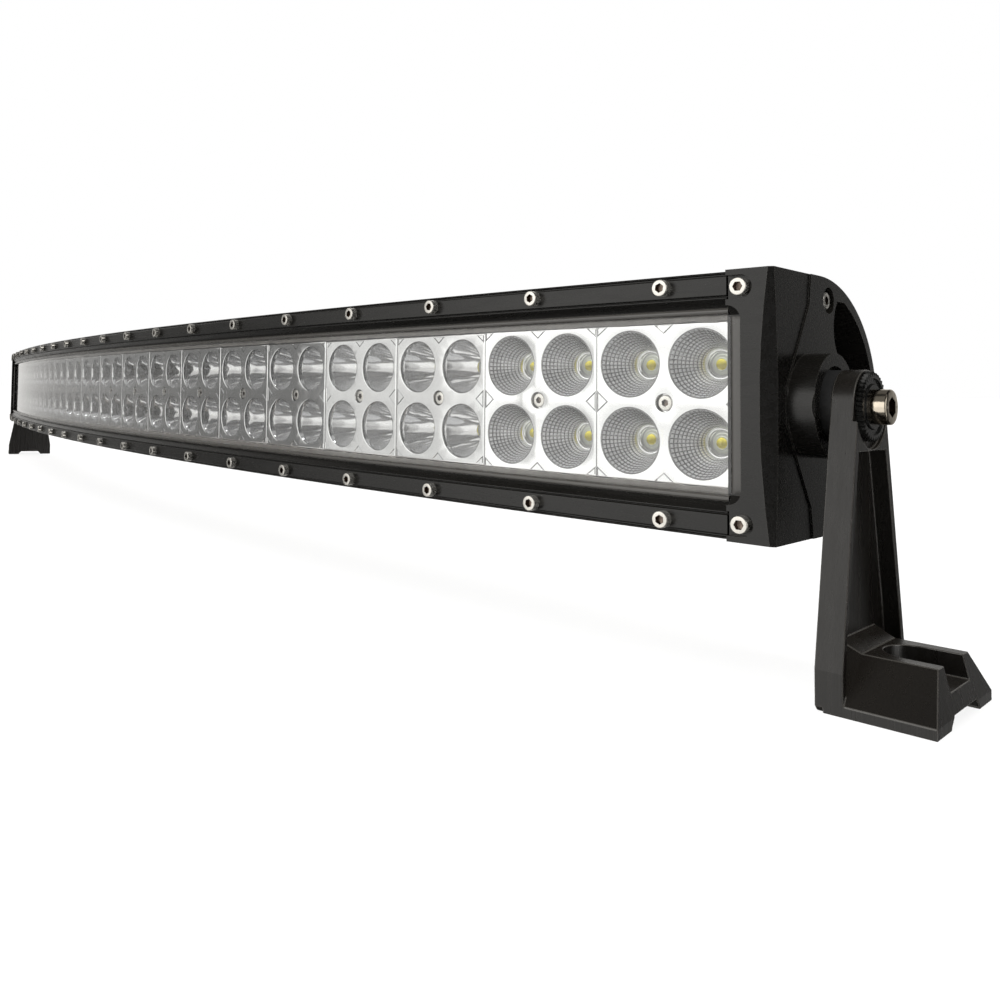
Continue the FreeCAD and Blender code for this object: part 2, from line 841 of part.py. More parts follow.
def cap_seal(label):
    """Flat rubber seal between the housing's end and the cap."""
    body = new_body(label)
    sketch = new_sketch(body, "YZ_Plane", 0.02)
    add_outline(sketch, [
        (9.6, -38.2), (41.0, -37.2), (48.5, -35.6), (51.5, -33.0),
        (51.5, 33.0), (48.5, 35.6), (41.0, 37.2), (9.6, 38.2),
    ])
    pad(body, sketch, d.cap_start - 0.04)
    opening = new_sketch(body, "YZ_Plane", 0.02)
    add_outline(opening, [(9.0, -29.2), (48.0, -27.0), (48.0, 27.0), (9.0, 29.2)])
    pocket(body, opening, 2.0, ahead=True)
    for side in (-1, 1):
        hole = new_sketch(body, "YZ_Plane", 0.02)
        add_circle(hole, d.side_screw_depth, d.side_screw_z * side, d.hole_radius)
        pocket(body, hole, 2.0, ahead=True)
    return place(body, CAP)


right_cap_gasket = cap_seal("right_cap_gasket")
left_cap_gasket = mirrored("left_cap_gasket", right_cap_gasket)

# ---------------------------------------------------------------- screws

strip_screw = place(socket_screw(
    "strip_screw", d.screw_head_radius, d.screw_head, d.screw_radius, 13.5, d.screw_socket,
), FACING_FRONT)
top_bezel_screws = repeated("top_bezel_screws", strip_screw, screw_places(0, row))
bottom_bezel_screws = repeated("bottom_bezel_screws", strip_screw, screw_places(0, -row))


def cap_screws(label):
    """Two screws in the cap's front face and two through its side."""
    places = []
    for side in (-1, 1):
        point = V(d.cap_screw_x.value, 0.2, d.cap_screw_z.value * side)
        places.append(CAP * FreeCAD.Placement(point, FreeCAD.Rotation()))
    for side in (-1, 1):
        point = V(14.4, d.side_screw_depth.value, d.side_screw_z.value * side)
        sideways = FreeCAD.Placement(point, turn(Z_AXIS, 90))
        places.append(CAP * sideways)
    return repeated(label, strip_screw, places)


right_cap_screws = cap_screws("right_cap_screws")
left_cap_screws = mirrored("left_cap_screws", right_cap_screws)

# ------------------------------------------------------- pivot and bracket

def along_pivot(offset):
    """Frame on the pivot axis with Z pointing outwards."""
    return PIVOT * FreeCAD.Placement(V(number(offset), 0, 0), FreeCAD.Rotation()) * FACING_RIGHT


disc_start = d.bracket_gap + d.head_thickness
bolt_face = disc_start + d.disc_thickness + d.bolt_head
right_pivot_bolt = place(socket_screw(
    "right_pivot_bolt", d.bolt_head_radius, d.bolt_head, d.bolt_radius, 23.5, 5.0,
), along_pivot(bolt_face))
left_pivot_bolt = mirrored("left_pivot_bolt", right_pivot_bolt)


def ring(label, outer, bore, start, thickness):
    body = new_body(label)
    sketch = new_sketch(body, "XY_Plane")
    add_circle(sketch, 0, 0, outer)
    add_circle(sketch, 0, 0, bore)
    pad(body, sketch, thickness)
    return place(body, along_pivot(start))


seat_start = d.boss_end - d.boss_recess
right_pivot_seal = ring("right_pivot_seal", d.seal_radius, d.bolt_radius + 0.05,
                        seat_start + 0.02, d.bracket_gap - seat_start - 0.07)
left_pivot_seal = mirrored("left_pivot_seal", right_pivot_seal)


def toothed_disc(label, teeth):
    """Grip washer with a saw-edged rim."""
    body = new_body(label)
    sketch = new_sketch(body, "XY_Plane")
    rim = []
    for k in range(teeth * 2):
        reach = d.disc_radius.value - (0.0 if k % 2 else 0.75)
        bearing = math.pi * k / teeth
        rim.append((reach * math.cos(bearing), reach * math.sin(bearing)))
    add_path(sketch, [[a, b] for a, b in zip(rim, rim[1:] + rim[:1])])
    add_circle(sketch, 0, 0, d.bolt_radius + 0.06)
    pad(body, sketch, d.disc_thickness - 0.04)
    return place(body, along_pivot(disc_start + 0.02))


right_grip_disc = toothed_disc("right_grip_disc", 40)
left_grip_disc = mirrored("left_grip_disc", right_grip_disc)


def bracket(label):
    """Cast arm with a round head, a channel down its outer side and a slotted foot."""
    body = new_body(label)
    base = -d.mid_height
    wide = d.foot_half_width
    knee = -70.0
    tilt = math.atan2(knee, wide.value) + math.acos(
        d.head_radius.value / math.hypot(knee, wide.value))
    side = (d.head_radius.value * math.cos(tilt), d.head_radius.value * math.sin(tilt))
    arm = new_sketch(body, "YZ_Plane")
    bottom = number(base)
    w = wide.value
    add_path(arm, [
        [(-w + 1.5, bottom), (w - 1.5, bottom)],
        [(w - 1.5, bottom), (w, bottom + 1.5)],
        [(w, bottom + 1.5), (w, knee)],
        [(w, knee), side],
        [side, (0, d.head_radius), (-side[0], side[1])],
        [(-side[0], side[1]), (-w, knee)],
        [(-w, knee), (-w, bottom + 1.5)],
        [(-w, bottom + 1.5), (-w + 1.5, bottom)],
    ])
    pad(body, arm, d.arm_thickness)
    channel = new_sketch(body, "YZ_Plane", d.arm_thickness)
    lip = base + d.foot_lip
    add_outline(channel, [
        (-22.0, lip), (22.0, lip), (19.9, -60.5), (10.4, -12.4), (-10.4, -12.4), (-19.9, -60.5),
    ])
    pocket(body, channel, d.arm_thickness - d.arm_web)
    head = new_sketch(body, "YZ_Plane", d.arm_thickness)
    add_circle(head, 0, 0, 12.0)
    pocket(body, head, d.arm_thickness - d.head_thickness)

    def foot_section(start, crest, top):
        section = new_sketch(body, "YZ_Plane", start)
        add_outline(section, [
            (-wide, base), (wide, base), (wide, lip), (crest, top), (-crest, top), (-wide, lip),
        ])
        return section

    # the foot flares as it meets the arm's web
    top = base + d.foot_height
    root = foot_section(d.arm_web - 0.5, d.ramp_half_width, base + d.ramp_height)
    flare = body.newObject("PartDesign::AdditiveLoft", label + "_flare")
    flare.Profile = root
    flare.Sections = [foot_section(d.foot_start, d.foot_top_half_width, top)]
    flare.Ruled = True
    pad(body, foot_section(d.arm_web, d.foot_top_half_width, top), d.foot_length - d.arm_web)
    slope = new_sketch(body, "XZ_Plane")
    add_outline(slope, [
        (d.foot_length, lip), (d.foot_top_length, top), (d.foot_top_length, top + 5),
        (d.foot_length + 5, top + 5), (d.foot_length + 5, lip),
    ])
    pocket(body, slope, 60.0, both=True)

    slot = new_sketch(body, "XY_Plane", base + d.slot_floor)
    half = d.slot_half_width.value
    centre = d.slot_centre.value
    add_path(slot, [
        [(40, -half), (centre, -half)],
        [(centre, -half), (centre - half, 0), (centre, half)],
        [(centre, half), (40, half)],
        [(40, half), (40, -half)],
    ])
    pocket(body, slot, 12.0, ahead=True)
    hole = new_sketch(body, "XY_Plane", base + d.slot_floor)
    add_circle(hole, d.slot_centre, 0, d.foot_hole_radius)
    pocket(body, hole, 12.0)
    under = new_sketch(body, "YZ_Plane")
    wing = d.channel_half_width
    ceiling = base + d.channel_depth
    add_outline(under, [
        (-wing, base - 1), (wing, base - 1), (wing, base + 0.6), (wing - 2.6, ceiling),
        (-wing + 2.6, ceiling), (-wing, base + 0.6),
    ])
    pocket(body, under, 40.0, ahead=True)
    bore = new_sketch(body, "YZ_Plane", d.arm_thickness)
    add_circle(bore, 0, 0, d.bolt_radius + 0.08)
    pocket(body, bore, 12.0)
    return place(body, PIVOT * FreeCAD.Placement(V(d.bracket_gap.value, 0, 0), FreeCAD.Rotation()))


right_bracket = bracket("right_bracket")
left_bracket = mirrored("left_bracket", right_bracket)

# --------------------------------------------- gland, breather and driver

def turned(label, corners, placement):
    """Piece of revolution; corners are (radius, distance along the axis)."""
    body = new_body(label)
    sketch = new_sketch(body, "XZ_Plane")
    add_outline(sketch, corners)
    revolve(body, sketch, 360.0)
    return place(body, placement)


def behind(port, depth):
    """Frame on a rear port with Z pointing backwards."""
    return port * FreeCAD.Placement(V(0, number(depth), 0), FreeCAD.Rotation()) * FACING_BACK


back = d.port_back + 0.05
gland_tube = turned("gland_tube", [
    (d.cable_bore, -7.0), (d.gland_thread, -7.0), (d.gland_thread, 12.0),
    (d.gland_thread - 1.0, 13.0), (5.4, 13.0), (5.4, 5.0), (d.cable_bore, 5.0),
], behind(GLAND, back))
gland_flange = combine("Cut", "gland_flange", (
    prism("gland_flange_hex", d.gland_hex, 4.5, behind(GLAND, back)),
    cylinder("gland_flange_bore", d.gland_thread - 0.5, 6.0, behind(GLAND, back - 0.5)),
))
gland_body = combine("MultiFuse", "gland_body", [gland_tube, gland_flange])
gland_nut = combine("Cut", "gland_nut", (
    combine("MultiFuse", "gland_nut_solid", [
        prism("gland_nut_hex", d.gland_hex - 1, 9.0, behind(GLAND, back + 4.8)),
        turned("gland_nut_dome", [(0, 8.0), (9.6, 8.0), (9.6, 10.5), (7.4, 14.0), (0, 14.0)],
               behind(GLAND, back + 4.8)),
    ]),
    turned("gland_nut_bore", [
        (0, -1.0), (d.gland_thread + 0.05, -1.0), (d.gland_thread + 0.05, 10.0),
        (d.cable_bore, 12.0), (d.cable_bore, 15.0), (0, 15.0),
    ], behind(GLAND, back + 4.8)),
))
gland_seal = turned("gland_seal", [
    (d.cable_bore, 5.1), (5.35, 5.1), (5.35, 13.1), (6.2, 13.3), (6.2, 14.4), (d.cable_bore, 14.4),
], behind(GLAND, back))
breather_vent = turned("breather_vent", [
    (0, -7.0), (5.9, -7.0), (5.9, 0), (8.5, 0), (8.5, 4.0), (7.6, 5.0), (3.0, 5.0), (3.0, 4.4), (0, 4.4),
], behind(VENT, back))

driver_modules = []
for label, bearing in (("driver_module_right", 2.9), ("driver_module_left", -2.9)):
    frame = on_arc(bearing, 35.2, 0)
    driver_modules.append(box(label, (150.0, 10.5, 36.0),
                              frame * FreeCAD.Placement(V(-75, 0, -18), FreeCAD.Rotation())))


def lead(label):
    """One supply wire lying along the chamber."""
    body = new_body(label)
    sketch = new_sketch(body, "YZ_Plane")
    add_circle(sketch, 40.0 - d.face_radius, 0, 1.1)
    revolve(body, sketch, 0.84)
    return place(body, FreeCAD.Placement(V(0, 0, 0), turn(Z_AXIS, 4.93)))


supply_leads = repeated("supply_leads", lead("lead"), [
    ARC * FreeCAD.Placement(V(0, 0, height), FreeCAD.Rotation()) for height in (-2.5, 2.5)
])

# ----------------------------------------------------------------- export

PARTS = [
    housing, top_bezel, bottom_bezel, lens, lens_gasket,
    right_end_cap, left_end_cap, right_cap_gasket, left_cap_gasket,
    top_bezel_screws, bottom_bezel_screws, right_cap_screws, left_cap_screws,
    reflector_screws, supply_leads, breather_vent, gland_body, gland_nut, gland_seal,
    right_pivot_bolt, left_pivot_bolt, right_pivot_seal, left_pivot_seal,
    right_grip_disc, left_grip_disc, right_bracket, left_bracket,
] + reflectors + boards + chip_groups + driver_modules

doc.recompute()
for item in doc.Objects:
    if "Invalid" in item.State or "Error" in item.State:
        raise ValueError("%s is %s" % (item.Label, item.State))
box_all = FreeCAD.BoundBox()
for item in PARTS:
    if item.Shape.isNull() or not item.Shape.isValid():
        raise ValueError(item.Label + " has no sound shape")
    box_all.add(item.Shape.BoundBox)
    item.Shape.exportStep("parts/%s.step" % item.Label)
print(len(PARTS), "parts", box_all)
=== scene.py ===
import json
import math
import random

import bmesh
import bpy
from mathutils import Matrix, Vector, noise
from mathutils.geometry import delaunay_2d_cdt


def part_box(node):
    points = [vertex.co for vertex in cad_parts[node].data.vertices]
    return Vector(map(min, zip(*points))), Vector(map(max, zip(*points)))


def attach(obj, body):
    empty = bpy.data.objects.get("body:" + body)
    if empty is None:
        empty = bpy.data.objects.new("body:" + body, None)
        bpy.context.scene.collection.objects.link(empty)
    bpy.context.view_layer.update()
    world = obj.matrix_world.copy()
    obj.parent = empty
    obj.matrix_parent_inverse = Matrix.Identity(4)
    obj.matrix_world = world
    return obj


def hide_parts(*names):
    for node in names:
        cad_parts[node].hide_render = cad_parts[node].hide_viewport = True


# Looks for the curved LED light bar. Metres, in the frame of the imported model:
# X along the bar, front facing -Y, Z up, feet on Z = 0.

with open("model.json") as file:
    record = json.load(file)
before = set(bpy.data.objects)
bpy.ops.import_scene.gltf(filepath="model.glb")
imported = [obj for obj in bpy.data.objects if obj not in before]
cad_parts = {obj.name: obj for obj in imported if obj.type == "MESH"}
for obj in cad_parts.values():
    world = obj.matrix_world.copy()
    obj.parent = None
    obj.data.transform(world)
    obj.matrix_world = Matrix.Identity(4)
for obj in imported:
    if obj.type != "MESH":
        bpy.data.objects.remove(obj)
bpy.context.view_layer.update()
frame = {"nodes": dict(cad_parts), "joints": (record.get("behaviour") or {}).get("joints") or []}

MM = 0.001
BAR = "light_bar"
SIDES = {"right": 1, "left": -1}
MIRROR = Matrix.Scale(-1, 4, (1, 0, 0))
FACING_FRONT = Matrix.Rotation(math.radians(90), 4, "X")
FACING_OUT = Matrix.Rotation(math.radians(90), 4, "Y")

# ------------------------------------------------------------ driving sizes
# The bar is bent on one arc. Its centre and radius follow from the right
# bracket's hinge, whose axis lies along the end of the bar.

hinge = {joint["name"]: joint for joint in frame["joints"]}["right_bracket_tilt"]
pivot = Vector(hinge["pos_m"])
end_bearing = math.atan2(hinge["axis"][1], hinge["axis"][0])

PIVOT_DEPTH = 24.4 * MM
pivot_radius = pivot.x / math.sin(end_bearing)
FACE_RADIUS = pivot_radius + PIVOT_DEPTH
ARC_CENTRE = Vector((0, pivot.y + pivot_radius * math.cos(end_bearing), pivot.z))

BLOCKS = 20
BLOCK_PITCH = 50.0 * MM
SCREWS = 20
SCREW_PITCH = 50.36 * MM
FLOOD_BLOCKS = (1, 2, 19, 20)
SCREW_ROW = 35.4 * MM
REFLECTOR_FACE = 9.6 * MM


def on_arc(bearing, depth=0.0, height=0.0):
    """Frame at a bearing round the arc: X along the bar, Y backwards, Z up."""
    radius = FACE_RADIUS - depth
    point = Vector((radius * math.sin(bearing), -radius * math.cos(bearing), height))
    return Matrix.Translation(ARC_CENTRE + point) @ Matrix.Rotation(bearing, 4, "Z")


def end_frame(sign):
    """Frame of an end cap: X outwards, Y backwards, Z up; mirrored at the left end."""
    frame_right = on_arc(end_bearing)
    return frame_right if sign > 0 else MIRROR @ frame_right


def bearings(count, pitch):
    """Bearings of equal steps along the screw faces, from the left end."""
    return [(k - (count - 1) / 2) * pitch / FACE_RADIUS for k in range(count)]


block_bearings = bearings(BLOCKS, BLOCK_PITCH)
screw_bearings = bearings(SCREWS, SCREW_PITCH)


# ------------------------------------------------------------ node helpers

NOISE_ROUGHNESS = 0.55


class Nodes:
    """Short way to add and join nodes in one material or world."""

    def __init__(self, tree):
        self.tree = tree
        tree.nodes.clear()

    def add(self, kind, **settings):
        node = self.tree.nodes.new(kind)
        for name, value in settings.items():
            setattr(node, name, value)
        return node

    def join(self, source, target):
        self.tree.links.new(source, target)

    def feed(self, socket, value):
        if isinstance(value, bpy.types.NodeSocket):
            self.join(value, socket)
        else:
            socket.default_value = value

    def math(self, operation, first, second=0.0, third=0.0):
        node = self.add("ShaderNodeMath", operation=operation)
        for socket, value in zip(node.inputs, (first, second, third)):
            self.feed(socket, value)
        return node.outputs[0]

    def ramp(self, value, stops):
        """Colour ramp; stops are (place, grey) or (place, (r, g, b))."""
        node = self.add("ShaderNodeValToRGB")
        elements = node.color_ramp.elements
        while len(elements) < len(stops):
            elements.new(0.5)
        for element, (place, colour) in zip(elements, stops):
            element.position = place
            shade = colour if isinstance(colour, tuple) else (colour,) * 3
            element.color = (*shade, 1.0)
        self.feed(node.inputs[0], value)
        return node.outputs[0]

    def mixed(self, value, first, second):
        """Colour between two, by a value."""
        return self.ramp(value, [(0.0, first), (1.0, second)])

    def noise(self, scale, stretch=(1, 1, 1), detail=4.0):
        """Noise with scale waves a metre; stretch lengthens the grain along an axis."""
        place = self.add("ShaderNodeTexCoord").outputs["Object"]
        mapping = self.add("ShaderNodeMapping")
        mapping.inputs["Scale"].default_value = [scale / s for s in stretch]
        self.join(place, mapping.inputs["Vector"])
        node = self.add("ShaderNodeTexNoise")
        node.inputs["Scale"].default_value = 1.0
        node.inputs["Detail"].default_value = detail
        node.inputs["Roughness"].default_value = NOISE_ROUGHNESS
        self.join(mapping.outputs[0], node.inputs["Vector"])
        return node.outputs["Fac"]

    def uneven(self, value, swing, level):
        """Value between 0 and 1 turned into one between level and level + swing."""
        return self.math("MULTIPLY_ADD", value, swing, level)

    def bump(self, height, depth, normal=None):
        """Normal pushed by a height of up to depth metres, over an earlier normal."""
        node = self.add("ShaderNodeBump")
        node.inputs["Distance"].default_value = depth
        self.feed(node.inputs["Height"], height)
        if normal is not None:
            self.join(normal, node.inputs["Normal"])
        return node.outputs[0]


def material(name, metallic=0.0, **constants):
    """New material with its shader; constants are set on the shader's sockets."""
    made = bpy.data.materials.new(name)
    made.use_nodes = True
    nodes = Nodes(made.node_tree)
    shader = nodes.add("ShaderNodeBsdfPrincipled")
    output = nodes.add("ShaderNodeOutputMaterial")
    nodes.join(shader.outputs[0], output.inputs[0])
    shader.inputs["Metallic"].default_value = metallic
    for key, value in constants.items():
        shader.inputs[key.replace("_", " ")].default_value = value
    return made, nodes, shader


# --------------------------------------------------------------- materials

def coated_metal(name, dark, light, rough, grain, grain_depth, gleam=0.55):
    """Black powder coat: fine orange peel, faint cloudy tone, uneven gloss."""
    made, nodes, shader = material(name, Specular_IOR_Level=gleam)
    cloud = nodes.noise(35.0, detail=3.0)
    peel = nodes.noise(1500.0, detail=2.0)
    nodes.join(nodes.mixed(cloud, dark, light), shader.inputs["Base Color"])
    gloss = nodes.uneven(nodes.noise(520.0, stretch=grain), 0.20, rough - 0.10)
    nodes.join(gloss, shader.inputs["Roughness"])
    streaks = nodes.bump(nodes.noise(2600.0, stretch=grain, detail=2.0), grain_depth)
    nodes.join(nodes.bump(peel, 0.00002, streaks), shader.inputs["Normal"])
    return made


def bright_metal(name, colour, rough, turned=0.00001, metallic=1.0):
    """Plated steel with fine machining marks and a little soil."""
    made, nodes, shader = material(name, metallic)
    soil = nodes.noise(420.0, detail=3.0)
    darker = tuple(0.72 * c for c in colour)
    nodes.join(nodes.mixed(soil, darker, colour), shader.inputs["Base Color"])
    nodes.join(nodes.uneven(soil, 0.12, rough), shader.inputs["Roughness"])
    nodes.join(nodes.bump(nodes.noise(3500.0, detail=1.0), turned), shader.inputs["Normal"])
    return made


def metallised(name, rough, ripple, metallic=1.0, shine=1.0):
    """Bright vacuum-coated plastic, very slightly uneven from its mould."""
    made, nodes, shader = material(name, metallic)
    tone = nodes.noise(90.0, detail=2.0)
    nodes.join(nodes.mixed(tone, (0.86 * shine,) * 3, (0.93 * shine,) * 3),
               shader.inputs["Base Color"])
    nodes.join(nodes.uneven(tone, 0.05, rough), shader.inputs["Roughness"])
    nodes.join(nodes.bump(nodes.noise(130.0, detail=1.0), ripple), shader.inputs["Normal"])
    return made


def moulded(name, first, second, rough, **constants):
    """Plastic or rubber with a soft mottled tone and a fine surface."""
    made, nodes, shader = material(name, **constants)
    tone = nodes.noise(220.0, detail=4.0)
    nodes.join(nodes.mixed(tone, first, second), shader.inputs["Base Color"])
    nodes.join(nodes.uneven(tone, 0.14, rough), shader.inputs["Roughness"])
    nodes.join(nodes.bump(nodes.noise(1200.0), 0.00003), shader.inputs["Normal"])
    return made


def clear_plastic(name):
    """Clear polycarbonate of the lens, a touch uneven in gloss."""
    made, nodes, shader = material(name, Transmission_Weight=1.0, IOR=1.5)
    nodes.join(nodes.mixed(nodes.noise(12.0), (0.97, 0.985, 0.99), (1.0, 1.0, 1.0)),
               shader.inputs["Base Color"])
    nodes.join(nodes.math("MULTIPLY", nodes.noise(60.0), 0.02), shader.inputs["Roughness"])
    return made


ALONG_BAR = (30, 1, 1)
UP_ARM = (1, 1, 40)
BLACK = coated_metal("black_coat", (0.004, 0.0038, 0.0033), (0.009, 0.0082, 0.0070), 0.27,
                     ALONG_BAR, 0.000008)
BRACKET = coated_metal("bracket_coat", (0.006, 0.0052, 0.0044), (0.013, 0.0112, 0.0092), 0.29,
                       UP_ARM, 0.00005, 0.62)
# Lighter coat laid on the bezel lips, the end beads and the rounded CAD edges: a painted highlight.
EDGE_HIGHLIGHT = coated_metal("painted_highlight_coat", (0.040, 0.037, 0.033), (0.062, 0.058, 0.052), 0.24,
                    ALONG_BAR, 0.000006, 1.0)
DISC = coated_metal("black_oxide", (0.004, 0.004, 0.004), (0.010, 0.010, 0.009), 0.24,
                    ALONG_BAR, 0.000004, 0.7)
STEEL = bright_metal("bright_steel", (0.96, 0.93, 0.87), 0.12, metallic=0.9)
# Darker steel for the inside of the hex sockets: painted shade.
SOCKET_SHADE = bright_metal("painted_socket_shade", (0.30, 0.24, 0.20), 0.25)
BOLT_STEEL = bright_metal("polished_steel", (0.84, 0.75, 0.62), 0.02)
PLATE = metallised("metallised_plate", 0.035, 0.000004)
CUP = metallised("metallised_cup", 0.03, 0.00014, 0.83)
PILLOW = metallised("metallised_pillow", 0.09, 0.00001, 0.70, 1.05)
# Darker metal along the pillows' valleys in the flood cups: painted shade.
VALLEY_SHADE = metallised("painted_valley_shade", 0.14, 0.00001, 0.80, 0.30)
LENS = clear_plastic("clear_lens")
SEALANT = moulded("grey_silicone", (0.20, 0.18, 0.165), (0.42, 0.40, 0.37), 0.45)
RUBBER = moulded("black_rubber", (0.010, 0.010, 0.010), (0.018, 0.018, 0.018), 0.55)
NYLON = moulded("black_nylon", (0.009, 0.009, 0.010), (0.016, 0.016, 0.017), 0.35)
BOARD = moulded("white_solder_mask", (0.62, 0.62, 0.60), (0.72, 0.72, 0.70), 0.35)
CERAMIC = moulded("lamp_package", (0.70, 0.72, 0.64), (0.80, 0.82, 0.74), 0.30)
PHOSPHOR = moulded("lamp_phosphor", (0.80, 0.66, 0.05), (0.90, 0.80, 0.12), 0.18,
                   Coat_Weight=1.0, Coat_Roughness=0.03)
DRIVER = moulded("potting_compound", (0.02, 0.02, 0.022), (0.035, 0.035, 0.04), 0.5)
WIRE = moulded("red_insulation", (0.35, 0.02, 0.02), (0.45, 0.03, 0.03), 0.4)
FLOOR = moulded("pale_floor", (0.90, 0.90, 0.90), (0.91, 0.91, 0.91), 0.9)


# ----------------------------------------------------------- mesh building

SHARP_DEGREES = 35.0
FLAT_WEIGHT = 80


def add_mesh(name, points, faces, *materials):
    """Mesh from points and faces, with its materials in slot order."""
    mesh = bpy.data.meshes.new(name)
    mesh.from_pydata([tuple(p) for p in points], [], faces)
    for made in materials:
        mesh.materials.append(made)
    return mesh


def tidy_mesh(mesh, sharp=SHARP_DEGREES):
    """Outward normals, no doubled points, smooth faces with sharp creases."""
    shape = bmesh.new()
    shape.from_mesh(mesh)
    bmesh.ops.remove_doubles(shape, verts=shape.verts, dist=1e-7)
    bmesh.ops.recalc_face_normals(shape, faces=shape.faces)
    shape.to_mesh(mesh)
    shape.free()
    mesh.shade_smooth()
    mesh.set_sharp_from_angle(angle=math.radians(sharp))
    return mesh


def add_piece(name, mesh, body=BAR, replaces=(), place=None):
    """Object that rides on a body and stands for CAD nodes, which it hides."""
    piece = bpy.data.objects.new(name, mesh)
    bpy.context.scene.collection.objects.link(piece)
    if place is not None:
        piece.matrix_world = place
    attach(piece, body)
    if replaces:
        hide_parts(*replaces)
    return piece


def even_normals(piece):
    """Keep broad flats flat where they meet narrow rounded edges."""
    weighted = piece.modifiers.new("normals", "WEIGHTED_NORMAL")
    weighted.keep_sharp = True
    weighted.weight = FLAT_WEIGHT


def rounded(corners, radius, steps=3):
    """Closed outline with every corner rounded, by less where its sides are short."""
    outline = []
    count = len(corners)
    for i, corner in enumerate(corners):
        here = Vector(corner)
        back = Vector(corners[i - 1]) - here
        ahead = Vector(corners[(i + 1) % count]) - here
        turn = math.pi - back.angle(ahead)
        if turn < math.radians(8):
            outline.append(here)
            continue
        reach = min(radius * math.tan(turn / 2), 0.45 * back.length, 0.45 * ahead.length)
        start = here + back.normalized() * reach
        end = here + ahead.normalized() * reach
        for k in range(steps + 1):
            t = k / steps
            outline.append(start * (1 - t) ** 2 + here * 2 * t * (1 - t) + end * t ** 2)
    return outline


def wall(rings, count):
    """Faces between rings of count points each, numbered one ring after another."""
    faces = []
    for i in range(rings - 1):
        for j in range(count):
            a, b = i * count + j, i * count + (j + 1) % count
            faces.append((a, b, b + count, a + count))
    return faces


def end_faces(rings, count):
    """Faces that close the first and the last ring."""
    return [tuple(range(count)), tuple(range((rings - 1) * count, rings * count))]


def swept(name, outline, half_bearing, steps, finish, wobble=None):
    """Closed (depth, height) outline carried round the bar's arc, with flat ends."""
    points = []
    count = len(outline)
    for i in range(steps + 1):
        bearing = half_bearing * (2 * i / steps - 1)
        for j, (depth, height) in enumerate(outline):
            if wobble is not None:
                depth, height = wobble(bearing, j, depth, height)
            points.append(on_arc(bearing, depth, height).translation)
    faces = end_faces(steps + 1, count) + wall(steps + 1, count)
    return tidy_mesh(add_mesh(name, points, faces, finish))


def lofted(name, rings, segments, finish, closed=True):
    """Rings about Z joined in order; a ring is (radius or radius(angle), height)."""
    points = []
    for radius, height in rings:
        for k in range(segments):
            angle = 2 * math.pi * k / segments
            reach = radius(angle) if callable(radius) else radius
            points.append((reach * math.cos(angle), reach * math.sin(angle), height))
    faces = wall(len(rings), segments)
    if closed:
        faces += end_faces(len(rings), segments)
    return tidy_mesh(add_mesh(name, points, faces, finish))


def hexagon(across_flats):
    """Radius by angle of a hexagon."""
    def radius(angle):
        return across_flats / 2 / math.cos(angle % (math.pi / 3) - math.pi / 6)
    return radius


def gathered(name, mesh, places):
    """One mesh holding a copy at each place."""
    joined = bmesh.new()
    for place in places:
        copy = mesh.copy()
        copy.transform(place)
        if place.determinant() < 0:
            copy.flip_normals()
        joined.from_mesh(copy)
        bpy.data.meshes.remove(copy)
    made = bpy.data.meshes.new(name)
    joined.to_mesh(made)
    joined.free()
    for finish in mesh.materials:
        made.materials.append(finish)
    made.shade_smooth()
    made.set_sharp_from_angle(angle=math.radians(SHARP_DEGREES))
    return made


# ------------------------------------------------------ bezels, lens, seals

LIP_HEIGHT = 26.5
LIP_HIGHLIGHT_BAND = 1.95
BEZEL_EDGE = 39.2
BEZEL_SEAT_HEIGHT = 29.0
BEZEL_CORNERS = 0.4 * MM


def bezel(side):
    """Front strip: lens lip, sloped recess, ridge, flat screw face, edge groove."""
    lip, edge, seat = LIP_HEIGHT, BEZEL_EDGE, BEZEL_SEAT_HEIGHT
    rows = [
        (5.85, lip), (4.5, lip), (3.9, lip + 0.3), (3.7, lip + 0.9), (3.75, lip + 1.4),
        (4.1, lip + 1.85), (5.0, lip + 2.1), (3.3, lip + 4.4), (3.0, lip + 4.6), (3.0, lip + 5.0),
        (3.7, lip + 5.1), (3.7, lip + 5.4), (2.8, lip + 5.5), (2.8, edge - 1.4),
        (4.1, edge - 1.3), (4.1, edge - 0.7), (3.5, edge - 0.5), (4.0, edge),
        (8.9, edge), (8.9, seat), (5.85, seat),
    ]
    outline = rounded([(depth * MM, side * height * MM) for depth, height in rows], BEZEL_CORNERS)
    name = "top_bezel" if side > 0 else "bottom_bezel"
    mesh = swept(name + "_strip", outline, end_bearing, 160, BLACK)
    # Faces on the front of the lens lip take the lighter coat: a painted highlight.
    mesh.materials.append(EDGE_HIGHLIGHT)
    for face in mesh.polygons:
        height = abs(face.center.z - pivot.z) / MM
        on_lip = lip < height < lip + LIP_HIGHLIGHT_BAND
        if on_lip and face.normal.y < -0.2:
            face.material_index = 1
    even_normals(add_piece(name + "_strip", mesh, replaces=[name]))


for side in (1, -1):
    bezel(side)

LENS_FRONT = 5.9 * MM
LENS_BACK = 8.4 * MM
LENS_PAST_JOINT = 6.2 * MM
GASKET_GAP = 0.05 * MM
PLATE_GAP = 0.1 * MM
WINDOW_HALF = 25.0 * MM
WINDOW_INSET = 2.0 * MM
LEDGE_DEPTH = 4.32 * MM
BEAD_CREASE = 60

lens_low, lens_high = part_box("lens")
lens_half = (lens_high.z - lens_low.z) / 2
lens_bearing = end_bearing + LENS_PAST_JOINT / FACE_RADIUS
lens_outline = rounded([(LENS_FRONT, -lens_half), (LENS_BACK, -lens_half),
                        (LENS_BACK, lens_half), (LENS_FRONT, lens_half)], 0.3 * MM)
lens_mesh = swept("lens_pane", lens_outline, lens_bearing, 200, LENS)
even_normals(add_piece("lens_pane", lens_mesh, replaces=["lens"]))

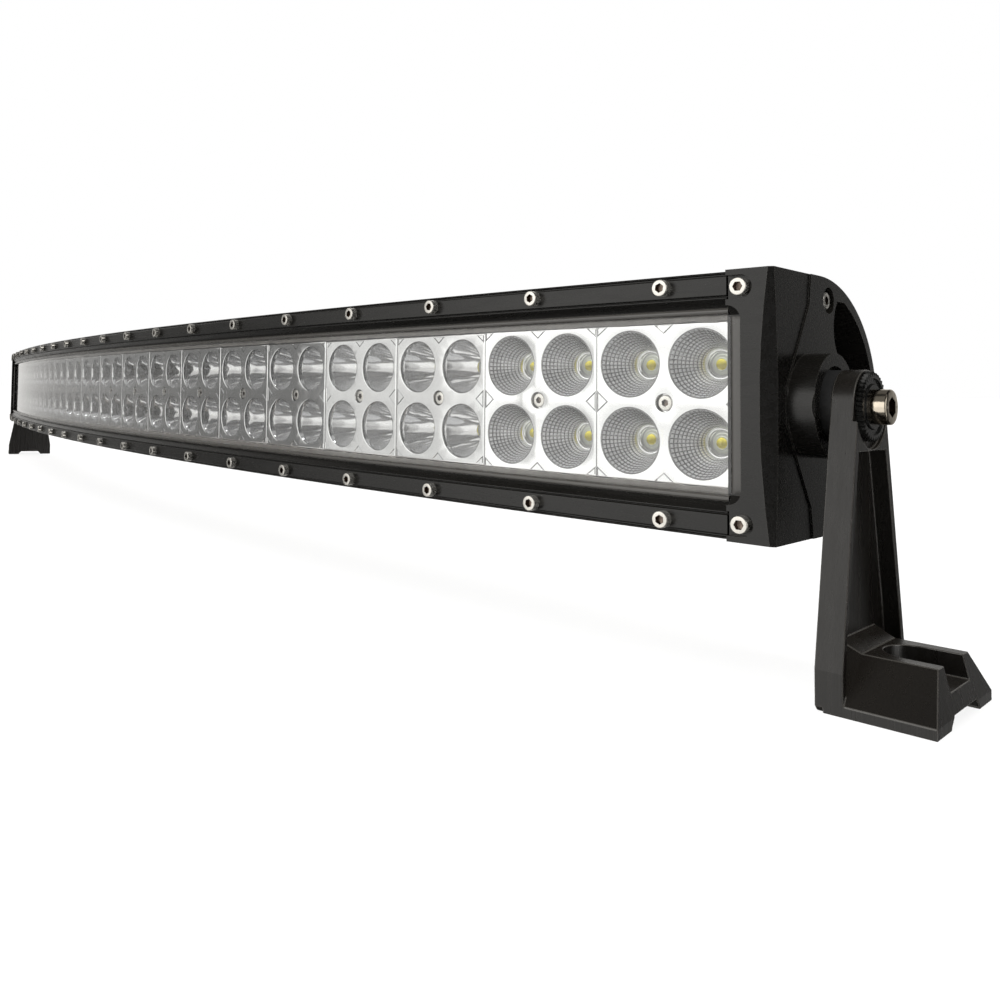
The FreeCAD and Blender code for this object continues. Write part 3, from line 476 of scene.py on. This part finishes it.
window_bearing = end_bearing - WINDOW_INSET / FACE_RADIUS
gasket_front = LENS_BACK + GASKET_GAP
gasket_back = REFLECTOR_FACE - PLATE_GAP

SLUMP = 0.45 * MM
SLUMPS_PER_RADIAN = 420


def sealant_bead(side):
    """Bead of silicone between lens and plates, its inner edge squeezed out unevenly."""
    outline = [(gasket_front, side * WINDOW_HALF), (gasket_back, side * WINDOW_HALF),
               (gasket_back, side * lens_half), (gasket_front, side * lens_half)]

    def squeeze(bearing, corner, depth, height):
        if corner > 1:
            return depth, height
        place = Vector((bearing * SLUMPS_PER_RADIAN, side * 5.0, 0))
        slump = noise.noise(place) + 0.5 * noise.noise(place * 3.1)
        return depth, height - side * slump * SLUMP

    name = "sealant_top" if side > 0 else "sealant_bottom"
    return swept(name, outline, window_bearing, 700, SEALANT, squeeze)


def end_strip(sign):
    """Black rubber across the end of the window, under the lens."""
    name = "end_gasket_right" if sign > 0 else "end_gasket_left"
    start, stop = window_bearing, lens_bearing - 1.0 * MM / FACE_RADIUS
    outline = [(start, -lens_half), (stop, -lens_half), (stop, lens_half), (start, lens_half)]
    points = [on_arc(sign * bearing, depth, height).translation
              for depth in (gasket_front, gasket_back) for bearing, height in outline]
    return tidy_mesh(add_mesh(name, points, end_faces(2, 4) + wall(2, 4), RUBBER))


def end_bead(sign):
    """Crowned bar along the ledge at the end of the lens, its ends rolled back; its lighter coat is a
    painted highlight.
    """
    centre, half_width, half_height, crown = 2.75 * MM, 2.1 * MM, 25.9 * MM, 0.55 * MM
    sunk = 0.25 * MM
    across, along = 12, 40
    count = across + 3
    points = []
    for i in range(along + 1):
        share = 2 * i / along - 1
        rise = math.sqrt(max(0.0, 1 - abs(share) ** 16))
        for j in range(across + 1):
            side = 2 * j / across - 1
            swell = crown * rise * math.sqrt(max(0.0, 1 - abs(side) ** 3))
            place = Vector((centre + side * half_width, LEDGE_DEPTH - swell, share * half_height))
            points.append(end_frame(sign) @ place)
        for side in (1, -1):
            place = Vector((centre + side * half_width, LEDGE_DEPTH + sunk, share * half_height))
            points.append(end_frame(sign) @ place)
    faces = end_faces(along + 1, count) + wall(along + 1, count)
    name = "end_bead_right" if sign > 0 else "end_bead_left"
    return tidy_mesh(add_mesh(name, points, faces, EDGE_HIGHLIGHT), BEAD_CREASE)


add_piece("sealant_top", sealant_bead(1), replaces=["lens_gasket"])
add_piece("sealant_bottom", sealant_bead(-1))
for side, sign in SIDES.items():
    add_piece("end_gasket_" + side, end_strip(sign))
    add_piece("end_bead_" + side, end_bead(sign))


# --------------------------------------------------------------- reflectors

# one block
BLOCK_HALF = 24.88 * MM
SKIRT_DEPTH = 1.6 * MM
SKIRT_WIDTH = 1.0 * MM
ROLLS = {"flood": 0.2 * MM, "spot": 0.6 * MM}
ROLL_STEPS = 3
CREASES = {"flood": 40, "spot": 32}
MARK_MARGIN = 0.1 * MM
GROOVE = 0.2 * MM
# the screw's seat in its middle
SEAT = 2.85 * MM
SEAT_ROLL = 0.2 * MM
SEAT_DEPTH = 2.4 * MM
SCREW_HOLE = 1.53 * MM
SEAT_SEGMENTS = 32
# its four cups
CUP_OFFSET = 12.4 * MM
CUP_DEPTH = 14.0 * MM
THROAT = 3.9 * MM
MOUTHS = {"flood": 11.0 * MM, "spot": 10.6 * MM}
RIMS = {"flood": 0.35 * MM, "spot": 0.7 * MM}
SPOT_SEGMENTS = 56
SPOT_ROWS = 14
# the pillows in a flood cup
PILLOWS_AROUND = 42
PILLOW_ROWS = 9
PILLOW_STEPS = 4
PILLOW_SWELL = 0.17 * MM
PILLOWS_END = 0.84
FLOOD_BULGE = 1.05
# material slots of a block
PLATE_SLOT, CUP_SLOT, PILLOW_SLOT, VALLEY_SHADE_SLOT = range(4)


def circle(x, z, radius, count):
    """Points round a centre; radius is a number, or a function of the share of a turn."""
    outline = []
    for k in range(count):
        angle = 2 * math.pi * k / count
        reach = radius(k / count) if callable(radius) else radius
        outline.append(Vector((x + reach * math.cos(angle), z + reach * math.sin(angle))))
    return outline


def square(half):
    return [Vector((-half, -half)), Vector((half, -half)), Vector((half, half)), Vector((-half, half))]


def shrunk(corners, inset):
    """Triangle moved inwards by the same distance on each side."""
    inner = []
    for i, corner in enumerate(corners):
        back = (corners[i - 1] - corner).normalized()
        ahead = (corners[(i + 1) % 3] - corner).normalized()
        half = back.angle(ahead) / 2
        inner.append(corner + (back + ahead).normalized() * inset / math.sin(half))
    return inner


def inside(point, corners):
    """Whether a point is in a triangle."""
    signs = []
    for i in range(3):
        a, b = corners[i], corners[(i + 1) % 3]
        signs.append((b - a).cross(point - a) > 0)
    return all(signs) or not any(signs)


def grooves(edge):
    """Triangles outlined by a fine groove, at each side's middle and each corner."""
    across_half, across_tall = 3.3 * MM, 2.8 * MM
    upright_half, upright_tall = 3.5 * MM, 4.1 * MM
    corner_wide, corner_tall = 3.8 * MM, 3.0 * MM
    marks = []
    for side in (-1, 1):
        marks.append([(-across_half, edge * side), (across_half, edge * side),
                      (0, (edge - across_tall) * side)])
        marks.append([(edge * side, -upright_half), (edge * side, upright_half),
                      ((edge - upright_tall) * side, 0)])
        for other in (-1, 1):
            marks.append([(edge * side, edge * other), ((edge - corner_wide) * side, edge * other),
                          (edge * side, (edge - corner_tall) * other)])
    return [[Vector(corner) for corner in mark] for mark in marks]


class Block:
    """Collects points and faces of one reflector block; Y runs backwards."""

    def __init__(self):
        self.points = []
        self.faces = []
        self.slots = []

    def ring(self, outline, depth):
        """Adds the points of an outline at one depth; gives their numbers."""
        first = len(self.points)
        self.points += [(p.x, depth, p.y) for p in outline]
        return list(range(first, len(self.points)))

    def face(self, corners, slot=PLATE_SLOT):
        self.faces.append(tuple(corners))
        self.slots.append(slot)

    def strip(self, ring_a, ring_b, slot=PLATE_SLOT, shade_every=0):
        """Band of faces between two rings; every so many of them, along a valley, take the darker metal
        as painted shade.
        """
        count = len(ring_a)
        for k in range(count):
            after = (k + 1) % count
            in_shade = shade_every and k % shade_every == 0
            self.face((ring_a[k], ring_a[after], ring_b[after], ring_b[k]),
                      VALLEY_SHADE_SLOT if in_shade else slot)

    def roll(self, outline_at, radius):
        """Quarter-round edge falling away from the face; gives its last ring."""
        last = self.ring(outline_at(0.0), 0.0)
        for k in range(1, ROLL_STEPS + 1):
            angle = math.pi / 2 * k / ROLL_STEPS
            ring = self.ring(outline_at(radius * math.sin(angle)), radius * (1 - math.cos(angle)))
            self.strip(last, ring)
            last = ring
        return last


def spot_rows(mouth):
    """Smooth parabolic bowl: (radius, depth) from the mouth to the throat."""
    for k in range(1, SPOT_ROWS + 1):
        t = 1 - k / SPOT_ROWS
        yield math.sqrt(THROAT ** 2 + (mouth ** 2 - THROAT ** 2) * t), CUP_DEPTH * (1 - t)


def flood_rows(mouth):
    """Bowl covered in small pillows, with plain steps round its throat."""
    steps = PILLOW_ROWS * PILLOW_STEPS

    def dome(place):
        return 1 - (2 * place - 1) ** 2

    for k in range(1, steps + 1):
        t = k / steps * PILLOWS_END
        base = THROAT + (mouth - THROAT) * (1 - t) ** FLOOD_BULGE
        along = dome(k % PILLOW_STEPS / PILLOW_STEPS)
        swell = PILLOW_SWELL * base / mouth

        def radius(turn, base=base, along=along, swell=swell):
            return base - swell * along * dome(turn * PILLOWS_AROUND % 1.0)
        yield radius, CUP_DEPTH * t
    for t, reach in ((0.86, 4.8), (0.885, 4.7), (0.89, 4.4), (0.93, 4.3), (0.94, 4.1), (1.0, 3.9)):
        yield reach * MM, CUP_DEPTH * t


def add_face_sheet(block, edge, marks, centres, mouth, around):
    """Flat front of the block, with the cups, the screw seat and the marks cut out."""
    seat_edge = SEAT + SEAT_ROLL
    loops = [square(edge), circle(0, 0, seat_edge, SEAT_SEGMENTS)]
    loops += [circle(x, z, mouth, around) for x, z in centres]
    loops += marks
    flat = []
    spans = []
    for loop in loops:
        first = len(flat)
        flat += loop
        spans += [(first + k, first + (k + 1) % len(loop)) for k in range(len(loop))]
    made = delaunay_2d_cdt(flat, spans, [], 0, 1e-9)
    points, triangles = made[0], made[2]
    numbers = block.ring(points, 0.0)
    for triangle in triangles:
        middle = sum((points[i] for i in triangle), Vector((0, 0))) / len(triangle)
        in_seat = middle.length < seat_edge
        in_cup = any((middle - Vector(centre)).length < mouth for centre in centres)
        in_mark = any(inside(middle, mark) for mark in marks)
        if not (in_seat or in_cup or in_mark):
            block.face(numbers[i] for i in triangle)


def add_marks(block, marks):
    """Fine V grooves round the marks, and the flats inside them."""
    for mark in marks:
        outer = block.ring(mark, 0.0)
        valley = block.ring(shrunk(mark, GROOVE), GROOVE)
        inner = block.ring(shrunk(mark, 2 * GROOVE), 0.0)
        block.strip(outer, valley)
        block.strip(valley, inner)
        block.face(inner)


def add_border(block, edge, corner_roll):
    """Rolled edge of the plate, its skirt and the narrow turn at the skirt's back."""
    border = block.roll(lambda grow: square(edge + grow), corner_roll)
    skirt = block.ring(square(BLOCK_HALF), SKIRT_DEPTH)
    block.strip(border, skirt)
    back = block.ring(square(BLOCK_HALF - SKIRT_WIDTH), SKIRT_DEPTH)
    block.strip(skirt, back)


def add_seat(block):
    """Sunk round seat of the middle screw, with its hole."""
    seat = block.roll(lambda grow: circle(0, 0, SEAT + SEAT_ROLL - grow, SEAT_SEGMENTS), SEAT_ROLL)
    floor = block.ring(circle(0, 0, SEAT, SEAT_SEGMENTS), SEAT_DEPTH)
    block.strip(seat, floor)
    hole = block.ring(circle(0, 0, SCREW_HOLE, SEAT_SEGMENTS), SEAT_DEPTH)
    block.strip(floor, hole)


def add_cup(block, kind, x, z, mouth, around):
    """One cup from its rolled rim down to its throat."""
    rim = RIMS[kind]
    last = block.roll(lambda grow: circle(x, z, mouth - grow, around), rim)
    rows = flood_rows if kind == "flood" else spot_rows
    for row, (radius, depth) in enumerate(rows(mouth - rim)):
        ring = block.ring(circle(x, z, radius, around), depth)
        if callable(radius):
            # rows and columns at the pillows' valleys take the darker metal: painted shade
            slot = VALLEY_SHADE_SLOT if row % PILLOW_STEPS == 0 else PILLOW_SLOT
            block.strip(last, ring, slot, PILLOW_STEPS)
        else:
            block.strip(last, ring, CUP_SLOT)
        last = ring


def block_mesh(kind):
    """Reflector block: a square plate with four cups and a screw seat."""
    mouth = MOUTHS[kind]
    around = PILLOWS_AROUND * PILLOW_STEPS if kind == "flood" else SPOT_SEGMENTS
    edge = BLOCK_HALF - ROLLS[kind]
    marks = grooves(edge - MARK_MARGIN)
    centres = [(x * CUP_OFFSET, z * CUP_OFFSET) for x in (-1, 1) for z in (-1, 1)]
    block = Block()
    add_face_sheet(block, edge, marks, centres, mouth, around)
    add_marks(block, marks)
    add_border(block, edge, ROLLS[kind])
    add_seat(block)
    for x, z in centres:
        add_cup(block, kind, x, z, mouth, around)
    mesh = add_mesh("reflector_" + kind, block.points, block.faces, PLATE, CUP, PILLOW, VALLEY_SHADE)
    for face, slot in zip(mesh.polygons, block.slots):
        face.material_index = slot
    return tidy_mesh(mesh, CREASES[kind])


reflector_meshes = {kind: block_mesh(kind) for kind in MOUTHS}
for index, bearing in enumerate(block_bearings, start=1):
    kind = "flood" if index in FLOOD_BLOCKS else "spot"
    piece = add_piece("reflector_block_%02d" % index, reflector_meshes[kind],
                      replaces=["reflector_%02d" % index],
                      place=on_arc(bearing, REFLECTOR_FACE))
    if kind == "spot":
        even_normals(piece)


# ------------------------------------------------------------------- lamps

BOARDS = 4
BOARD_FRONT = 24.0 * MM
BLOCKS_PER_BOARD = BLOCKS // BOARDS
LAMP_SEGMENTS = 32
DOME_RADIUS = 1.78 * MM
DOME_START = 0.95
DOME_RISE = 1.45
DOME_STEPS = 9


def lamp_meshes():
    """Round pale package with the phosphor dome on it, facing along +Z."""
    package = lofted("package", [
        (3.3 * MM, 0), (3.3 * MM, 0.6 * MM), (3.1 * MM, 0.8 * MM), (2.3 * MM, 0.85 * MM),
        (2.1 * MM, 1.15 * MM), (1.8 * MM, 1.15 * MM), (1.8 * MM, 0.9 * MM),
    ], LAMP_SEGMENTS, CERAMIC)
    rings = [(DOME_RADIUS, 0.8 * MM)]
    for k in range(DOME_STEPS):
        angle = math.pi / 2 * k / DOME_STEPS
        rings.append((DOME_RADIUS * math.cos(angle), (DOME_START + DOME_RISE * math.sin(angle)) * MM))
    rings.append((0.05 * MM, (DOME_START + DOME_RISE) * MM))
    dome = lofted("dome", rings, LAMP_SEGMENTS, PHOSPHOR)
    return package, dome


package_mesh, dome_mesh = lamp_meshes()
for board in range(BOARDS):
    places = []
    first = board * BLOCKS_PER_BOARD
    for bearing in block_bearings[first:first + BLOCKS_PER_BOARD]:
        for x in (-1, 1):
            for z in (-1, 1):
                corner = Matrix.Translation((x * CUP_OFFSET, 0, z * CUP_OFFSET))
                places.append(on_arc(bearing, BOARD_FRONT) @ corner @ FACING_FRONT)
    node = "led_chips_%d" % (board + 1)
    add_piece("lamp_packages_%d" % (board + 1), gathered(node, package_mesh, places),
              replaces=[node])
    add_piece("lamp_domes_%d" % (board + 1), gathered(node, dome_mesh, places))


# ------------------------------------------------------------------ screws

SHANK_SHARE = 0.57
SHANK_STUB = 2.0 * MM
HEAD_ROLL_STEPS = 4
SOCKET_MOUTH = 0.16 * MM
SOCKET_CONE = 0.3 * MM


def socket_head(name, radius, height, across_flats, socket_depth, finish, bevel, segments=48):
    """Socket-head screw, head face at Z = 0 and a stub of its shank below the head."""
    reach = across_flats / 2 / math.cos(math.pi / 6)
    shank = radius * SHANK_SHARE
    rings = [(shank, -height - SHANK_STUB), (shank, -height), (radius, -height), (radius, -bevel)]
    for k in range(1, HEAD_ROLL_STEPS + 1):
        angle = math.pi / 2 * k / HEAD_ROLL_STEPS
        rings.append((radius - bevel + bevel * math.cos(angle), -bevel + bevel * math.sin(angle)))
    rings += [
        (hexagon(across_flats + SOCKET_MOUTH), 0), (hexagon(across_flats), -0.1 * MM),
        (hexagon(across_flats), -socket_depth),
        (hexagon(across_flats * 0.5), -socket_depth - SOCKET_CONE / 2),
        (0.02 * MM, -socket_depth - SOCKET_CONE),
    ]
    head = lofted(name, rings, segments, finish)
    # faces inside the hex socket take the darker steel: painted shade
    head.materials.append(SOCKET_SHADE)
    for face in head.polygons:
        middle = face.center
        below_face = -socket_depth - 0.5 * MM < middle.z < -0.08 * MM
        if below_face and middle.xy.length < reach:
            face.material_index = 1
    return head


def set_out(name, mesh, places, body=BAR, replaces=()):
    """One piece with a copy of a mesh at each place."""
    even_normals(add_piece(name, gathered(name, mesh, places), body, replaces))


rng = random.Random(7)


def row_of_screws(along, depth, height):
    """Places of forward-facing screws on the arc, each turned by up to a radian."""
    return [on_arc(bearing, depth, height) @ FACING_FRONT
            @ Matrix.Rotation(rng.uniform(0, 1), 4, "Z") for bearing in along]


strip_head = socket_head("strip_head", 2.6 * MM, 2.8 * MM, 2.5 * MM, 1.7 * MM, STEEL, 0.28 * MM)
for name, height in (("top_bezel_screws", SCREW_ROW), ("bottom_bezel_screws", -SCREW_ROW)):
    set_out(name + "_heads", strip_head, row_of_screws(screw_bearings, 0, height),
            replaces=[name])

BLOCK_HEAD_SUNK = 0.6 * MM
block_head = socket_head("block_head", 2.5 * MM, 1.6 * MM, 2.0 * MM, 1.1 * MM, STEEL, 0.35 * MM)
set_out("reflector_screw_heads", block_head,
        row_of_screws(block_bearings, REFLECTOR_FACE + BLOCK_HEAD_SUNK, 0),
        replaces=["reflector_screws"])

# faces of the cap screws' heads in the cap's frame: out along the bar, back, up
CAP_FRONT_SCREW = (4.6 * MM, 0.2 * MM, 34.2 * MM)
CAP_SIDE_SCREW = (14.4 * MM, 39.4 * MM, 32.3 * MM)
for side, sign in SIDES.items():
    places = []
    for z in (-1, 1):
        for (out, back, up), facing in ((CAP_FRONT_SCREW, FACING_FRONT), (CAP_SIDE_SCREW, FACING_OUT)):
            places.append(end_frame(sign) @ Matrix.Translation((out, back, up * z)) @ facing)
    set_out(side + "_cap_screw_heads", strip_head, places,
            replaces=[side + "_cap_screws"])

# ----------------------------------------------------- pivot bolts and discs

# along the pivot from the joint between housing and cap
ARM_START = 25.05 * MM
ARM_HEAD = 6.05 * MM
DISC_THICKNESS = 1.9 * MM
DISC_GAP = 0.02 * MM
BOLT_HEAD = 4.5 * MM
DISC_TEETH = 40

bolt_face = ARM_START + ARM_HEAD + DISC_THICKNESS + BOLT_HEAD
bolt_head = socket_head("bolt_head", 5.0 * MM, BOLT_HEAD, 5.0 * MM, 2.8 * MM, BOLT_STEEL, 0.5 * MM, 96)


def teeth(reach, depth):
    """Radius by angle of a ring of pointed teeth."""
    def radius(angle):
        phase = angle * DISC_TEETH / (2 * math.pi) % 1.0
        return reach - depth * abs(2 * phase - 1)
    return radius


disc_rings = [
    (3.1 * MM, 0), (8.9 * MM, 0), (teeth(9.5 * MM, 0.5 * MM), 0.0),
    (teeth(9.9 * MM, 1.15 * MM), 0.25 * MM), (teeth(9.9 * MM, 1.15 * MM), 1.5 * MM),
    (teeth(9.6 * MM, 1.1 * MM), 1.82 * MM), (8.1 * MM, 1.84 * MM), (7.8 * MM, 1.35 * MM),
    (6.6 * MM, 1.35 * MM), (6.3 * MM, 1.84 * MM), (3.1 * MM, 1.84 * MM),
]
disc_mesh = lofted("disc", disc_rings, 160, DISC, closed=False)
for side, sign in SIDES.items():
    along_pivot = end_frame(sign) @ Matrix.Translation((0, PIVOT_DEPTH, 0)) @ FACING_OUT
    at_bolt = along_pivot @ Matrix.Translation((0, 0, bolt_face))
    set_out(side + "_pivot_bolt_head", bolt_head, [at_bolt],
            replaces=[side + "_pivot_bolt"])
    at_disc = along_pivot @ Matrix.Translation((0, 0, ARM_START + ARM_HEAD + DISC_GAP))
    set_out(side + "_toothed_disc", disc_mesh, [at_disc],
            side + "_bracket", [side + "_grip_disc"])


# --------------------------------------------- CAD shapes kept as they are

WELD_DISTANCE = 0.01 * MM
FLAT_DEGREES = 1.0
EDGE_DEGREES = 24


def keep(node, finish, round_off=0.0, segments=2):
    """CAD shape with its own finish; its edges are rounded where a size is given, and on coated parts
    the rounded edges take the lighter coat, a painted highlight.
    """
    shape = frame["nodes"][node]
    shape.data.materials.clear()
    shape.data.materials.append(finish)
    if round_off:
        # rounded edges of coated parts get the lighter coat: a painted highlight
        shape.data.materials.append(EDGE_HIGHLIGHT if finish in (BLACK, BRACKET) else finish)
        weld = shape.modifiers.new("weld", "WELD")
        weld.merge_threshold = WELD_DISTANCE
        merge = shape.modifiers.new("merge_flats", "DECIMATE")
        merge.decimate_type = "DISSOLVE"
        merge.angle_limit = math.radians(FLAT_DEGREES)
        edge = shape.modifiers.new("edges", "BEVEL")
        edge.width = round_off
        edge.segments = segments
        edge.limit_method = "ANGLE"
        edge.angle_limit = math.radians(EDGE_DEGREES)
        edge.miter_outer = "MITER_ARC"
        edge.material = 1
        even_normals(shape)


keep("housing", BLACK, 0.35 * MM)
for side in SIDES:
    keep(side + "_end_cap", BLACK, 0.4 * MM)
    keep(side + "_bracket", BRACKET, 0.8 * MM, 3)
    keep(side + "_cap_gasket", RUBBER)
    keep(side + "_pivot_seal", RUBBER)
    keep("driver_module_" + side, DRIVER)
keep("gland_body", NYLON, 0.3 * MM)
keep("gland_nut", NYLON, 0.3 * MM)
keep("gland_seal", RUBBER)
keep("breather_vent", NYLON, 0.3 * MM)
keep("supply_leads", WIRE)
for board in range(BOARDS):
    keep("led_board_%d" % (board + 1), BOARD)


# ------------------------------------------------------ camera and studio

CAMERA_LENS = 33.40
CAMERA_SHIFT = (0.1203, -0.1548)
CAMERA_FROM_LAST_SCREW = (150.9 * MM, -255.9 * MM, 3.1 * MM)
CAMERA_YAW, CAMERA_PITCH, CAMERA_ROLL = 47.30, 2.725, 0.76


def photo_camera():
    """Camera low in front of the right end, looking back along the bar.

    Its place and angles are given in the frame of the last screw at that end.
    """
    data = bpy.data.cameras.new("camera")
    data.lens = CAMERA_LENS
    data.shift_x, data.shift_y = CAMERA_SHIFT
    data.clip_start = 0.01
    data.clip_end = 50
    camera = bpy.data.objects.new("camera", data)
    bpy.context.scene.collection.objects.link(camera)
    screw_frame = on_arc(screw_bearings[-1])
    at = screw_frame @ Vector(CAMERA_FROM_LAST_SCREW)
    yaw, pitch, roll = (math.radians(angle) for angle in (CAMERA_YAW, CAMERA_PITCH, CAMERA_ROLL))
    ahead = Vector((-math.sin(yaw) * math.cos(pitch), math.cos(yaw) * math.cos(pitch), math.sin(pitch)))
    across = Vector((math.cos(yaw), math.sin(yaw), 0))
    above = across.cross(ahead)
    turned = [across * math.cos(roll) + above * math.sin(roll),
              above * math.cos(roll) - across * math.sin(roll), -ahead]
    basis = Matrix(turned).transposed().to_4x4()
    camera.matrix_world = Matrix.Translation(at) @ screw_frame.to_3x3().to_4x4() @ basis
    bpy.context.scene.camera = camera


def studio_world():
    """Soft studio that only lights and reflects; the camera itself sees plain white.

    Turning from the front (0 degrees) to the left (90), right (-90) and back (180):
    a broad panel from the front to the front left, a soft wash round the left, a
    narrow strip to the front right, a bright panel at the right, and dim or dark
    between them and behind. All of it is dim towards the floor and overhead.
    """
    world = bpy.data.worlds.new("studio")
    bpy.context.scene.world = world
    world.use_nodes = True
    nodes = Nodes(world.node_tree)
    direction = nodes.add("ShaderNodeTexCoord").outputs["Generated"]
    parts = nodes.add("ShaderNodeSeparateXYZ")
    nodes.join(direction, parts.inputs[0])
    left = nodes.math("MULTIPLY", parts.outputs[0], -1.0)
    front = nodes.math("MULTIPLY", parts.outputs[1], -1.0)
    turn = nodes.math("ARCTAN2", left, front)
    share = nodes.math("MULTIPLY_ADD", turn, 1 / (2 * math.pi), 0.5)

    def at(degrees):
        return degrees / 360 + 0.5

    band = nodes.ramp(share, [
        (at(-180), 0.40), (at(-165), 0.05), (at(-116), 0.05), (at(-107), 2.20), (at(-95), 2.20),
        (at(-86), 0.02), (at(-50), 0.02), (at(-46), 1.30), (at(-38), 1.30), (at(-34), 0.02),
        (at(-14), 0.03), (at(0), 1.25), (at(33), 1.35), (at(38), 0.80), (at(47), 0.78),
        (at(49.5), 0.20), (at(62), 0.20), (at(82), 0.40), (at(94), 0.80), (at(135), 1.10),
        (at(155), 0.45), (at(180), 0.40),
    ])
    rise = nodes.math("MULTIPLY_ADD", parts.outputs[2], 0.5, 0.5)
    height = nodes.ramp(rise, [
        (0.0, 0.07), (0.22, 0.10), (0.27, 0.80), (0.43, 0.80), (0.55, 1.08), (0.74, 1.08),
        (0.79, 0.12), (1.0, 0.10),
    ])
    level = nodes.math("MULTIPLY", band, height)
    lights = nodes.add("ShaderNodeBackground")
    nodes.join(level, lights.inputs[1])
    lights.inputs[0].default_value = (1.0, 0.985, 0.955, 1.0)
    white = nodes.add("ShaderNodeBackground")
    white.inputs[0].default_value = (1, 1, 1, 1)
    path = nodes.add("ShaderNodeLightPath")
    choose = nodes.add("ShaderNodeMixShader")
    nodes.join(path.outputs["Is Camera Ray"], choose.inputs[0])
    nodes.join(lights.outputs[0], choose.inputs[1])
    nodes.join(white.outputs[0], choose.inputs[2])
    output = nodes.add("ShaderNodeOutputWorld")
    nodes.join(choose.outputs[0], output.inputs[0])


SUN_TILT = (8, -6, 0)
FLOOR_HALF = 40


def overhead(name, strength, spread, shadow):
    """Even light from above for the floor; it makes no highlights."""
    data = bpy.data.lights.new(name, "SUN")
    data.energy = strength
    data.angle = math.radians(spread)
    data.use_shadow = shadow
    lamp = bpy.data.objects.new(name, data)
    bpy.context.scene.collection.objects.link(lamp)
    lamp.rotation_euler = [math.radians(angle) for angle in SUN_TILT]
    lamp.visible_glossy = False
    lamp.visible_camera = False


def pale_floor():
    corners = [(corner.x, corner.y, 0) for corner in square(FLOOR_HALF)]
    mesh = add_mesh("floor", corners, [(0, 1, 2, 3)], FLOOR)
    floor = bpy.data.objects.new("floor", mesh)
    bpy.context.scene.collection.objects.link(floor)
    floor.visible_glossy = False
    floor.visible_transmission = False


photo_camera()
studio_world()
overhead("ceiling_even", 3.05, 10, False)
overhead("ceiling_soft", 0.5, 70, True)
pale_floor()
bpy.context.scene.view_settings.view_transform = "Standard"
